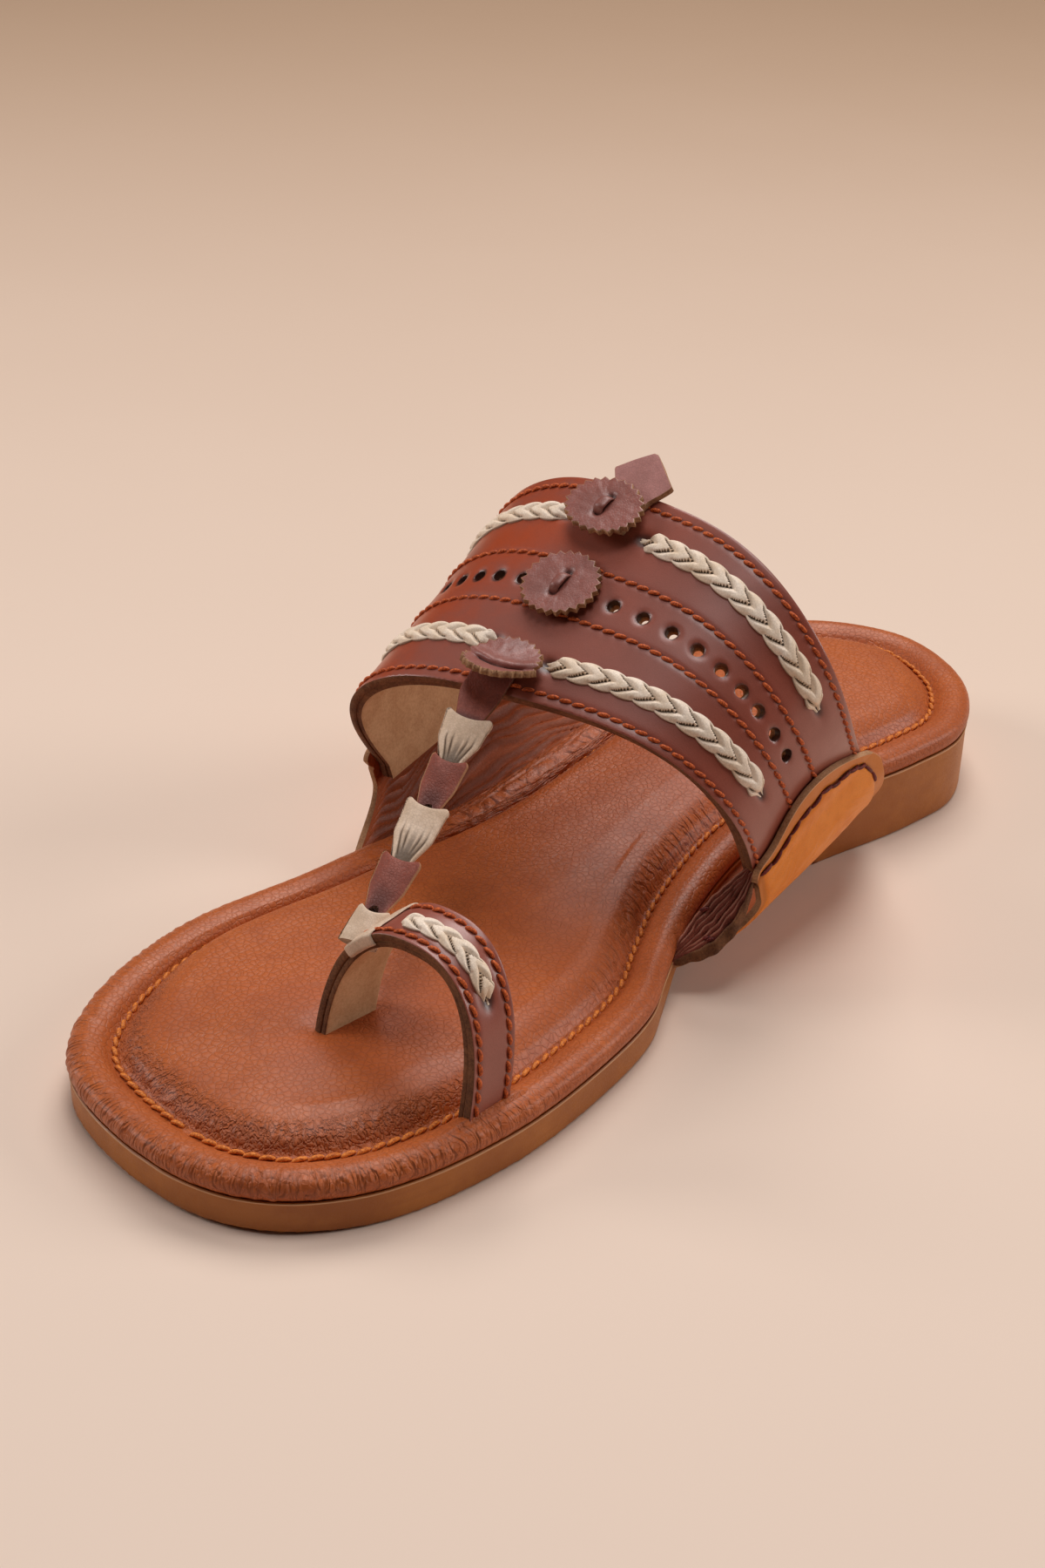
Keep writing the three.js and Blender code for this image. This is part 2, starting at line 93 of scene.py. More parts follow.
inner_edge = [(inner, y) for y, inner, outer in SOLE_STATIONS]
outer_edge = [(-outer, y) for y, inner, outer in reversed(SOLE_STATIONS)]
outline = curve_through([TOE_TIP, *inner_edge, HEEL_TIP, *outer_edge], 4000, closed=True)
heel_point = outline[:, 1].argmax()
SIDE_EDGES = {1: outline[: heel_point + 1], -1: outline[heel_point:][::-1]}  # inner side 1, outer side -1


def edge_x(y, side):
    """Where the sole's outline is, on one side, at distances y from the toe."""
    edge = SIDE_EDGES[side]
    return np.interp(y, np.maximum.accumulate(edge[:, 1]), edge[:, 0])


def sole_edge(turn):
    """The outline as x and y: from the toe (0) along the inner side to the heel (0.5) and back."""
    y = SOLE_LENGTH / 2 * (1 - np.cos(2 * np.pi * turn))
    x = np.where(turn <= 0.5, edge_x(y, 1), edge_x(y, -1))
    return np.where(y < 1e-6, TOE_TIP[0], x), y


def move_in(x, y, inset, to_spine):
    """Moves outline points in by inset, and then by a share of what is left to the sole's spine."""
    along = np.clip((y - SPINE_TOE[1]) / (SPINE_HEEL[1] - SPINE_TOE[1]), 0, 1)
    to_x = SPINE_TOE[0] + (SPINE_HEEL[0] - SPINE_TOE[0]) * along - x
    to_y = SPINE_TOE[1] + (SPINE_HEEL[1] - SPINE_TOE[1]) * along - y
    step = inset / np.hypot(to_x, to_y)
    step = step + (1 - step) * to_spine
    return x + to_x * step, y + to_y * step


def smooth(start, end, value):
    t = np.clip((value - start) / (end - start), 0, 1)
    return t * t * (3 - 2 * t)


def seam_height(y):
    return FOREFOOT_SOLE + (HEEL_SOLE - FOREFOOT_SOLE) * smooth(104, 212, y)


def tread_height(y):
    """The underside: a little toe spring, and the hollow from behind the ball to the upright heel breast."""
    toe_spring = TOE_SPRING * (1 - smooth(0, 34, y))
    hollow_y = [118, 128, 138, 148, 158, 186, 189.5, 191.5, 194.5]
    return toe_spring + np.interp(y, hollow_y, [0, 2.8, 5.0, 6.6, 7.6, 10.4, 9.7, 7.3, 0])


def speckle(x, y, z, scale):
    """Smooth noise from -1 to 1 at points in millimetres."""
    return np.array([noise.noise((px * scale, py * scale, pz * scale)) for px, py, pz in zip(x, y, z)])


def lay(bm, columns, rows, place):
    """Lays a grid of faces. place(a, b), with both from 0 to 1, gives its points in millimetres on the shoe,
    and a dict of marks, which are values kept at the points for the material to read."""
    before = len(bm.verts)
    bmesh.ops.create_grid(bm, x_segments=columns, y_segments=rows, size=0.5)
    bm.verts.ensure_lookup_table()
    flat = np.array([vert.co[:2] for vert in bm.verts[before:]]) + 0.5
    points, marks = place(flat[:, 0], flat[:, 1])
    for name in marks:
        if name not in bm.verts.layers.float:
            bm.verts.layers.float.new(name)
    bm.verts.ensure_lookup_table()
    made = bm.verts[before:]
    for vert, point in zip(made, (points + shoe_origin) * mm):
        vert.co = point
    for name, values in marks.items():
        layer = bm.verts.layers.float[name]
        for vert, value in zip(made, values):
            vert[layer] = value
    return made


def along_normal(place, a, b, height, step=0.0008):
    """The points of place, moved by height along the surface's own normal."""
    first = place(a + step, b) - place(a - step, b)
    second = place(a, b + step) - place(a, b - step)
    normal = np.cross(first, second)
    normal /= np.linalg.norm(normal, axis=1, keepdims=True) + 1e-12
    return place(a, b) + normal * np.reshape(height, (-1, 1))


MERGE = 0.0004  # points nearer than this, in millimetres, are one point on a beveled cut edge


def drop_slivers(bm, fewest=12):
    """Deletes the islands of a few faces that hang off a shell where its edge folds over itself."""
    reached = set()
    spare = []
    for start in bm.faces:
        if start in reached:
            continue
        island = [start]
        reached.add(start)
        for face in island:
            for edge in face.edges:
                if len(edge.link_faces) == 2:
                    for beside in edge.link_faces:
                        if beside not in reached:
                            reached.add(beside)
                            island.append(beside)
        if len(island) < fewest:
            spare += island
    bmesh.ops.delete(bm, geom=spare, context="FACES")


def make_piece(name, bm, materials, slot=None, stands_for=(), sharp=50, closed=True):
    """Makes the finished object of a bmesh: doubles merged, faces outwards, riding on the shoe."""
    bmesh.ops.remove_doubles(bm, verts=bm.verts, dist=0.003 * mm)
    drop_slivers(bm)
    if closed:
        bmesh.ops.recalc_face_normals(bm, faces=bm.faces)
    for edge in bm.edges:
        if edge.is_manifold and edge.calc_face_angle(0) > math.radians(sharp):
            edge.smooth = False
    for face in bm.faces:
        face.smooth = True
    mesh = bpy.data.meshes.new(name)
    bm.to_mesh(mesh)
    bm.free()
    for material in materials:
        mesh.materials.append(material)
    piece = bpy.data.objects.new(name, mesh)
    bpy.context.scene.collection.objects.link(piece)
    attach(piece, "root")
    if stands_for:
        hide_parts(*stands_for)
    return piece


def add_node(tree, kind, sockets=None, **settings):
    """Adds a shader node. A socket is given a value, or the output of another node to link from."""
    made = tree.nodes.new("ShaderNode" + kind)
    for name, value in settings.items():
        setattr(made, name, value)
    for name, value in (sockets or {}).items():
        if isinstance(value, bpy.types.NodeSocket):
            tree.links.new(value, made.inputs[name])
        else:
            made.inputs[name].default_value = value
    return made


def calculate(tree, operation, *values):
    return add_node(tree, "Math", dict(enumerate(values)), operation=operation).outputs[0]


def fade(tree, value, start, end, low=0.0, high=1.0):
    """low at start, high at end, and smooth between."""
    sockets = {"Value": value, "From Min": start, "From Max": end, "To Min": low, "To Max": high}
    return add_node(tree, "MapRange", sockets, interpolation_type="SMOOTHSTEP").outputs[0]


def blend_colour(tree, share, first, second, blend="MIX"):
    """Mixes two colours; each is three numbers or an output."""
    first, second = (c if isinstance(c, bpy.types.NodeSocket) else (*c, 1) for c in (first, second))
    sockets = {0: share, 6: first, 7: second}
    return add_node(tree, "Mix", sockets, data_type="RGBA", blend_type=blend).outputs[2]


def new_material(name):
    """A material's tree and its Principled shader."""
    material = bpy.data.materials.new(name)
    material.use_nodes = True
    return material, material.node_tree, material.node_tree.nodes["Principled BSDF"]


def new_group(name, inputs, outputs):
    """An empty node group with number sockets, and its input and output nodes."""
    group = bpy.data.node_groups.new(name, "ShaderNodeTree")
    for socket in inputs:
        kind = "NodeSocketVector" if socket == "Vector" else "NodeSocketFloat"
        group.interface.new_socket(socket, in_out="INPUT", socket_type=kind)
    for socket in outputs:
        group.interface.new_socket(socket, in_out="OUTPUT", socket_type="NodeSocketFloat")
    return group, group.nodes.new("NodeGroupInput").outputs, group.nodes.new("NodeGroupOutput").inputs


# Cloudy colour and soft unevenness, which moulded rubber and every leather have.
mottle_group, given, put = new_group("mottle", ["Vector", "Patch"], ["Tone", "Height"])
broad = add_node(mottle_group, "TexNoise", {"Vector": given["Vector"], "Scale": given["Patch"], "Detail": 3})
finer = calculate(mottle_group, "MULTIPLY", given["Patch"], 6.0)
fine = add_node(mottle_group, "TexNoise", {"Vector": given["Vector"], "Scale": finer, "Detail": 4})
together = calculate(
    mottle_group, "MULTIPLY_ADD", broad.outputs[0], 0.7,
    calculate(mottle_group, "MULTIPLY", fine.outputs[0], 0.3)
)
mottle_group.links.new(fade(mottle_group, together, 0.36, 0.64), put["Tone"])
mottle_group.links.new(together, put["Height"])


def add_group(tree, group, sockets):
    made = tree.nodes.new("ShaderNodeGroup")
    made.node_tree = group
    for name, value in sockets.items():
        if isinstance(value, bpy.types.NodeSocket):
            tree.links.new(value, made.inputs[name])
        else:
            made.inputs[name].default_value = value
    return made.outputs


RUBBER = (0.46, 0.150, 0.022)
RUBBER_DEEP = (0.36, 0.104, 0.013)
RUBBER_PALE_LINE = (0.66, 0.36, 0.17)
rubber, tree, shader = new_material("caramel_rubber")
place_on = add_node(tree, "TexCoord").outputs["Object"]
cloud = add_group(tree, mottle_group, {"Vector": place_on, "Patch": 45})
# Faint lines along the moulded side.
drawn = add_node(tree, "Mapping", {"Vector": place_on, "Scale": (40, 40, 900)}).outputs[0]
lines = add_node(tree, "TexNoise", {"Vector": drawn, "Scale": 1.0, "Detail": 2}).outputs[0]
grit = add_node(tree, "TexNoise", {"Vector": place_on, "Scale": 2600, "Detail": 3}).outputs[0]
lip = add_node(tree, "Attribute", attribute_name="lip").outputs["Fac"]
skin = blend_colour(tree, cloud["Tone"], RUBBER, RUBBER_DEEP)
skin = blend_colour(tree, fade(tree, lines, 0.5, 0.75, 0, 0.35), skin, RUBBER_DEEP)
# A thin pale line is painted along the upper lip.
shader_colour = blend_colour(tree, fade(tree, lip, 0.35, 0.9), skin, RUBBER_PALE_LINE)
tree.links.new(shader_colour, shader.inputs["Base Color"])
tree.links.new(fade(tree, grit, 0.3, 0.7, 0.42, 0.58), shader.inputs["Roughness"])
relief = calculate(tree, "ADD", calculate(tree, "MULTIPLY", lines, 0.6), grit)
bump = add_node(tree, "Bump", {"Strength": 0.35, "Distance": 0.00012, "Height": relief})
tree.links.new(bump.outputs[0], shader.inputs["Normal"])

# Round the sole's section, from the middle of the tread by the side to the middle of the top.
OUTSOLE_ROUND = np.array([  # share of the way to the spine, inset, share of the height, rise
    (1, 0, 0, 0), (0.5, 0, 0, 0), (0, 5, 0, 0), (0, 1.2, 0, 0), (0, 0.5, 0, 0), (0, 0.1, 0, 0.3),
    (0, -0.1, 0, 0.8), (0, -0.12, 0.25, 0.4), (0, -0.14, 0.5, 0), (0, -0.12, 0.75, -0.4), (0, -0.1, 1, -0.4),
    (0, -0.1, 1, 0.1), (0, -0.3, 1, 0.25), (0, -0.32, 1, 0.65), (0, -0.02, 1, 0.85), (0, 0.7, 1, 0.5),
    (0, 4, 1, 0), (1, 0, 1, 0),
])


def outsole_place(a, b):
    x, y = sole_edge(a)
    row = b * (len(OUTSOLE_ROUND) - 1)
    to_spine, inset, share, rise = (
        np.interp(row, np.arange(len(OUTSOLE_ROUND)), col) for col in OUTSOLE_ROUND.T
    )
    flash = np.exp(-(((row - 4.6) / 0.7) ** 2)) * (1 - smooth(60, 110, y))
    inset = inset - 0.32 * flash * np.clip(speckle(x, y, rise * 0, 0.8) + 0.15, 0, 1)
    waver = 0.16 * speckle(x, y, rise * 0 + 7, 0.11) * np.exp(-(((row - 12.5) / 1.4) ** 2))
    x, y = move_in(x, y, inset, to_spine)
    low = tread_height(y)
    z = low + (seam_height(y) - low) * share + rise + waver
    return np.column_stack([x, y, z]), {"lip": np.exp(-(((row - 12.9) / 0.75) ** 2))}


bm = bmesh.new()
lay(bm, 840, 34, outsole_place)
make_piece("outsole_unit", bm, [rubber], "outsole_rubber", ["outsole"], sharp=35)

# ---- Footbed ----
# A foam insole wrapped in tan leather with a pebbled grain. The leather is rolled round the rim and pulled
# under, which creases it round the toe, and a stitched channel makes the padded middle stand up.
GAP = 0.3
CHANNEL_INSET = 9.5
CREASE_SPACING = 2.3
STITCH_PITCH = 3.3
# inset from the outline and height above the seam, from underneath up and in
FOOTBED_SECTION = curve_through([
    (1.2, 0), (0.1, 1.0), (-0.5, 2.8), (0.4, 4.8), (3.2, 5.9), (6.8, 4.9), (9.4, 2.7), (10.6, 3.3),
    (12.8, 5.7),
    (16.5, 7.6), (20.5, 8.4),
], 220)
PAD_CROWN = 0.8
LOOP_FEET = [((49.6, 47.5), (49.6, 60.5)), ((7.6, 46.5), (8.8, 60.0))]  # where the toe loop goes through
outline_run = np.concatenate(
    [[0], np.cumsum(np.hypot(*np.diff(np.column_stack(sole_edge(np.linspace(0, 1, 3001))), axis=0).T))]
)
section_run = np.concatenate([[0], np.cumsum(np.hypot(*np.diff(FOOTBED_SECTION, axis=0).T))])
UNDER, RISE = 0.05, 0.86  # shares of the footbed's round that lie underneath, and up to the pad's flat top


def footbed_base(a, b):
    x, y = sole_edge(a % 1.0)
    on_section = np.clip((b - UNDER) / (RISE - UNDER), 0, 1) * section_run[-1]
    inset = np.interp(on_section, section_run, FOOTBED_SECTION[:, 0])
    height = np.interp(on_section, section_run, FOOTBED_SECTION[:, 1])
    to_spine = np.where(b < UNDER, 1 - np.clip(b, 0, 1) / UNDER, np.clip((b - RISE) / (1 - RISE), 0, 1))
    # the pad stands up more on the outer side
    steep = (x < 0) * smooth(14, 60, y) * (1 - smooth(205, 240, y))
    inset = np.where(on_section > 10, CHANNEL_INSET + (inset - CHANNEL_INSET) * (1 - 0.5 * steep), inset)
    x, y = move_in(x, y, inset, to_spine)
    crown = np.where(b > RISE, PAD_CROWN * smooth(0, 0.8, to_spine), 0)
    return np.column_stack([x, y, seam_height(y) + GAP + height + crown])


random.seed(11)
rim_creases = []  # place round the outline, depth, width, slant
place_round = 0.0
while place_round < outline_run[-1]:
    rim_creases.append(
        (place_round, random.uniform(0.12, 0.38), random.uniform(0.5, 0.9), random.uniform(-0.3, 0.3))
    )
    place_round += CREASE_SPACING * random.uniform(0.5, 1.5)


def ridged(values, sharp):
    """Thin valleys where smooth noise crosses zero."""
    return 1 - np.clip(np.abs(values) * sharp, 0, 1)


def footbed_place(a, b):
    base = footbed_base(a, b)
    x, y, z = base.T
    round_rim = np.interp(a, np.linspace(0, 1, 3001), outline_run)
    on_section = (b - UNDER) / (RISE - UNDER) * section_run[-1]
    inset = np.interp(on_section, section_run, FOOTBED_SECTION[:, 0])
    at_toe = 1 - smooth(38, 95, y)
    at_outer_waist = (x < 0) * smooth(96, 118, y) * (1 - smooth(176, 205, y))
    creased = np.exp(-(((on_section - 4.9) / 3.4) ** 2)) * (0.14 + 0.86 * at_toe)
    trough = np.zeros_like(a)
    for place, depth, width, slant in rim_creases:
        away = (round_rim - place + outline_run[-1] / 2) % outline_run[-1] - outline_run[-1] / 2
        trough += depth * np.exp(-(((away - slant * (on_section - 4)) / width) ** 2))
    # The wrinkles where the pad's leather turns down into the channel: a loose net, deepest at the toe.
    net = ridged(speckle(x, y, z * 0.5, 0.28), 2.6)
    folds = ridged(speckle(round_rim, on_section * 0.35, y * 0, 0.42), 3.0)
    slope = np.exp(-(((inset - 13.2) / 2.6) ** 2)) * (on_section > 12) * (b < RISE)
    at_inner_waist = (x > 0) * smooth(92, 112, y) * (1 - smooth(165, 195, y))
    net_depth = (
        (0.21 * net + 0.17 * folds) * slope * (0.12 + 0.88 * (1 - smooth(24, 70, y)) + 0.12 * at_inner_waist)
    )
    # On the outer side of the waist the rim's leather is pushed together lengthwise.
    bunched = ridged(speckle(round_rim * 0.22, on_section * 0.62, y * 0 + 3, 1.0), 2.2)
    bunched = 0.36 * bunched * at_outer_waist * smooth(1.0, 4.0, on_section) * (1 - smooth(13.5, 16.0, inset))
    pull = np.abs((round_rim / STITCH_PITCH) % 1 - 0.5) * 2  # deepest between stitches
    channel = np.exp(-(((inset - CHANNEL_INSET) / 0.8) ** 2)) * (on_section > 8) * (b < RISE)
    dent = np.zeros_like(a)
    for (x0, y0), (x1, y1) in LOOP_FEET:
        along = np.clip((y - y0) / (y1 - y0), 0, 1)
        away = np.hypot(x - (x0 + (x1 - x0) * along), y - (y0 + (y1 - y0) * along))
        dent += 0.9 * np.exp(-((away / 3.4) ** 2)) * (b > 0.3)
    softness = 0.28 * smooth(14, 22, inset) * speckle(x, y, z * 0, 0.045)
    height = -creased * trough - net_depth - bunched - channel * (0.35 + 0.3 * (1 - pull)) - dent + softness
    points = along_normal(footbed_base, a, b, np.where(b < RISE, -height, 0))
    points[:, 2] += np.where(b < RISE, 0, height)
    shade = np.clip(
        creased * trough * 1.3 + net_depth * 1.0 + bunched * 1.2 + channel * 0.6 + dent * 0.5, 0, 1
    )
    return points, {
        "crease": shade, "net": np.clip(slope * (1 - smooth(30, 80, y)), 0, 1),
        "run": np.minimum(round_rim, outline_run[-1] - round_rim), "over": on_section,
        "radial": np.maximum(creased * at_toe, slope * at_inner_waist),
        "lengthwise": at_outer_waist * smooth(1.0, 4.0, on_section) * (1 - smooth(14, 17, inset)),
    }


# Grain that every leather here shares: pebbles with fine valleys between them, and pores.
grain_group, given, put = new_group("leather_grain", ["Vector", "Pebble"], ["Height", "Valley"])
sway = add_node(
    grain_group, "TexNoise",
    {"Vector": given["Vector"], "Scale": calculate(grain_group, "MULTIPLY", given["Pebble"], 0.5)}
)
swayed = add_node(
    grain_group, "VectorMath", {0: sway.outputs["Color"], 1: (0.0007, 0.0007, 0.0007)}, operation="MULTIPLY"
)
moved = add_node(
    grain_group, "VectorMath", {0: given["Vector"], 1: swayed.outputs[0]}, operation="ADD"
).outputs[0]
edges = add_node(
    grain_group, "TexVoronoi", {"Vector": moved, "Scale": given["Pebble"]}, feature="DISTANCE_TO_EDGE"
).outputs["Distance"]
domes = add_node(
    grain_group, "TexVoronoi", {"Vector": moved, "Scale": given["Pebble"]}, feature="SMOOTH_F1"
).outputs["Distance"]
pore_scale = calculate(grain_group, "MULTIPLY", given["Pebble"], 3.0)
pores = add_node(
    grain_group, "TexNoise", {"Vector": given["Vector"], "Scale": pore_scale, "Detail": 2}
).outputs[0]
valley = fade(grain_group, edges, 0.0, 0.16, 1.0, 0.0)
tall = calculate(grain_group, "SUBTRACT", 1.0, calculate(grain_group, "MULTIPLY", domes, 0.6))
tall = calculate(grain_group, "SUBTRACT", tall, calculate(grain_group, "MULTIPLY", valley, 0.45))
tall = calculate(grain_group, "MULTIPLY_ADD", pores, 0.3, tall)
grain_group.links.new(tall, put["Height"])
grain_group.links.new(valley, put["Valley"])


def leather(name, light, dark, pebble, grain, rough, patch=70, gloss=0.0, shine=0.3, tinted_by=(), base=None,
            wrinkles=()):
    """A leather's material: cloudy between two colours, with a grain of that many pebbles a metre and that
    depth in millimetres. tinted_by lists marks that blend another colour in, for the paler cut edges and
    panels and for painted shade in creases, slits and hollows: name, start, end, colour, share. wrinkles lists
    fine wrinkles: the mark that says where, and how fast they change along the marks run and over."""
    material, tree, shader = new_material(name)
    place_on = add_node(tree, "TexCoord").outputs["Object"]
    cloud = add_group(tree, mottle_group, {"Vector": place_on, "Patch": patch})
    skin = add_group(tree, grain_group, {"Vector": place_on, "Pebble": pebble})
    colour = blend_colour(tree, cloud["Tone"], light if base is None else base(tree, place_on), dark)
    deep = tuple(c * 0.55 for c in dark)
    colour = blend_colour(tree, calculate(tree, "MULTIPLY", skin["Valley"], 0.26), colour, deep)
    for mark, start, end, tint, share in tinted_by:
        value = add_node(tree, "Attribute", attribute_name=mark).outputs["Fac"]
        colour = blend_colour(tree, fade(tree, value, start, end, 0.0, share), colour, tint)
    tree.links.new(colour, shader.inputs["Base Color"])
    tree.links.new(
        fade(tree, cloud["Height"], 0.35, 0.65, rough - 0.06, rough + 0.08), shader.inputs["Roughness"]
    )
    shader.inputs["Specular IOR Level"].default_value = shine
    if gloss:
        shader.inputs["Coat Weight"].default_value = gloss
        shader.inputs["Coat Roughness"].default_value = 0.3
    relief = calculate(tree, "MULTIPLY_ADD", cloud["Height"], 2.0, skin["Height"])
    for mark, by_run, by_over in wrinkles:
        run, over, share = (
            add_node(tree, "Attribute", attribute_name=each).outputs["Fac"] for each in ("run", "over", mark)
        )
        spread = add_node(tree, "CombineXYZ", {
            0: calculate(tree, "MULTIPLY", run, by_run), 1: calculate(tree, "MULTIPLY", over, by_over),
        }).outputs[0]
        folded = add_node(
            tree, "TexNoise", {"Vector": spread, "Scale": 1.0, "Detail": 2, "Distortion": 0.4}
        ).outputs[0]
        valley = fade(
            tree, calculate(tree, "ABSOLUTE", calculate(tree, "SUBTRACT", folded, 0.5)), 0.0, 0.11, 1.0, 0.0
        )
        relief = calculate(tree, "MULTIPLY_ADD", calculate(tree, "MULTIPLY", valley, share), -4.5, relief)
    bump = add_node(tree, "Bump", {"Strength": 0.6, "Distance": grain * mm, "Height": relief})
    tree.links.new(bump.outputs[0], shader.inputs["Normal"])
    return material


FOOTBED_TAN = (0.50, 0.118, 0.026)
FOOTBED_BROWN = (0.41, 0.088, 0.018)
FOOTBED_CREASE_SHADE = (0.15, 0.028, 0.008)
FOOTBED_NET_SHADE = (0.36, 0.092, 0.042)
# Painted shade: the net mark darkens the wrinkled slope at the toe, and the crease mark darkens the rim's
# creases, the channel, the bunched waist and the toe loop's dents.
footbed_leather = leather(
    "footbed_leather", FOOTBED_TAN, FOOTBED_BROWN, pebble=700, grain=0.30, rough=0.47, patch=38, shine=0.32,
    gloss=0.22,
    tinted_by=[("net", 0.2, 1.0, FOOTBED_NET_SHADE, 0.24), ("crease", 0.05, 0.9, FOOTBED_CREASE_SHADE, 0.26)],
    wrinkles=[("radial", 0.42, 0.12), ("lengthwise", 0.13, 0.62), ("net", 0.5, 0.5)],
)
bm = bmesh.new()
lay(bm, 940, 96, footbed_place)
bmesh.ops.remove_doubles(bm, verts=bm.verts, dist=0.012 * mm)
bmesh.ops.holes_fill(bm, edges=[edge for edge in bm.edges if edge.is_boundary], sides=0)
footbed = make_piece("footbed_pad", bm, [footbed_leather], "footbed_leather", ["footbed"], sharp=80)


def thread(name, light, dark):
    """Twisted waxed thread: fine slanting ridges across each stitch."""
    material, tree, shader = new_material(name)
    place_on = add_node(tree, "TexCoord").outputs["Object"]
    ply = add_node(tree, "TexNoise", {"Vector": place_on, "Scale": 2400, "Detail": 2}).outputs[0]
    tree.links.new(blend_colour(tree, fade(tree, ply, 0.38, 0.62), light, dark), shader.inputs["Base Color"])
    shader.inputs["Roughness"].default_value = 0.55
    shader.inputs["Specular IOR Level"].default_value = 0.3
    bump = add_node(tree, "Bump", {"Strength": 0.8, "Distance": 0.00012, "Height": ply})
    tree.links.new(bump.outputs[0], shader.inputs["Normal"])
    return material


def stitch_shape(length, thick, dive):
    """One stitch along Z: a fat grain of thread, bent so that both ends dive into the leather (down Y)."""
    bm = bmesh.new()
    made = bmesh.ops.create_uvsphere(bm, u_segments=7, v_segments=8, radius=0.5)["verts"]
    for vert in made:
        along = vert.co.z * 2
        bulge = (1 - along**4) ** 0.5 / max((1 - along**2) ** 0.5, 0.2)
        vert.co = (vert.co.x * thick * bulge, vert.co.y * thick * bulge - dive * along**2, vert.co.z * length)
    mesh = bpy.data.meshes.new("stitch")
    bm.to_mesh(mesh)
    bm.free()
    return mesh


def sew(bm, shape, line, ups, pitch, slant=10):
    """Sews stitches of that shape into bm along a line of points in millimetres, on the side of ups."""
    run = np.concatenate([[0], np.cumsum(np.linalg.norm(np.diff(line, axis=0), axis=1))])

    def at(table, where):
        return Vector([np.interp(where, run, table[:, k]) for k in range(3)])

    for count in range(int(run[-1] / pitch)):
        middle = (count + 0.5) * pitch
        up = at(ups, middle).normalized()
        ahead = at(line, middle + 0.5) - at(line, middle - 0.5)
        ahead = (ahead - up * ahead.dot(up)).normalized()
        ahead = Matrix.Rotation(math.radians(slant + random.uniform(-3, 3)), 3, up) @ ahead
        across = up.cross(ahead)
        turn = Matrix((across, up, ahead)).transposed().to_4x4()
        before = len(bm.verts)
        bm.from_mesh(shape)
        bm.verts.ensure_lookup_table()
        where = (at(line, middle) + Vector(shoe_origin)) * mm
        bmesh.ops.transform(
            bm, matrix=Matrix.Translation(where) @ turn @ Matrix.Scale(mm, 4), verts=bm.verts[before:]
        )


THREAD_ORANGE = (0.82, 0.26, 0.040)
THREAD_ORANGE_DEEP = (0.50, 0.12, 0.020)
footbed_thread = thread("footbed_thread", THREAD_ORANGE, THREAD_ORANGE_DEEP)
channel_stop = (
    UNDER + (RISE - UNDER) * np.interp(CHANNEL_INSET, FOOTBED_SECTION[60:, 0], section_run[60:])
    / section_run[-1]
)
turns = np.linspace(0, 1, 1400)
channel_line = footbed_place(turns, np.full_like(turns, channel_stop))[0]
channel_line[:, 2] += 0.5
bm = bmesh.new()
random.seed(3)
sew(
    bm, stitch_shape(3.6, 1.05, 0.45), channel_line, np.tile((0.0, 0.0, 1.0), (len(turns), 1)), STITCH_PITCH,
    slant=13
)
make_piece("footbed_stitches", bm, [footbed_thread], sharp=180)

# ---- Instep band ----
# A wide strap of smooth red-brown leather over the instep, painted plum on its inner side as painted sheen,
# lined with beige suede and cut raw at the edges.
# Four rows of stitches hold face and lining together, with a row of punched holes between the middle two.
FACE_WALL = 1.9
LINING_WALL = 1.4
STITCH_ROWS = (0.045, 0.39, 0.62, 0.955)  # shares of the band's width, from its front edge
HOLE_ROW = 0.502
HOLE_RADIUS = 1.75
HOLES = (
    0.145, 0.182, 0.22, 0.253, 0.29, 0.33, 0.372, 0.417, 0.463, 0.608, 0.647, 0.682, 0.717, 0.752, 0.787,
    0.822, 0.857
)
BAND_TUCK = 4.5
BAND_FRONT = {  # the arch of the front edge, from its inner foot over the crown to its outer foot
    "x": -1.2, "half": 48.6, "bulge": 1.9, "power": 2.93, "foot": 26.6, "crown": 64.6,
    "y": 133.5, "lean": -0.64, "curl": 0.28, "skew": 0.23,
}
BAND_BACK = {
    "x": -3.3, "half": 50.0, "bulge": 4.9, "power": 3.05, "foot": 41.5, "crown": 96.7,
    "y": 187.1, "lean": -0.9, "curl": 0.46, "skew": -0.04,
}


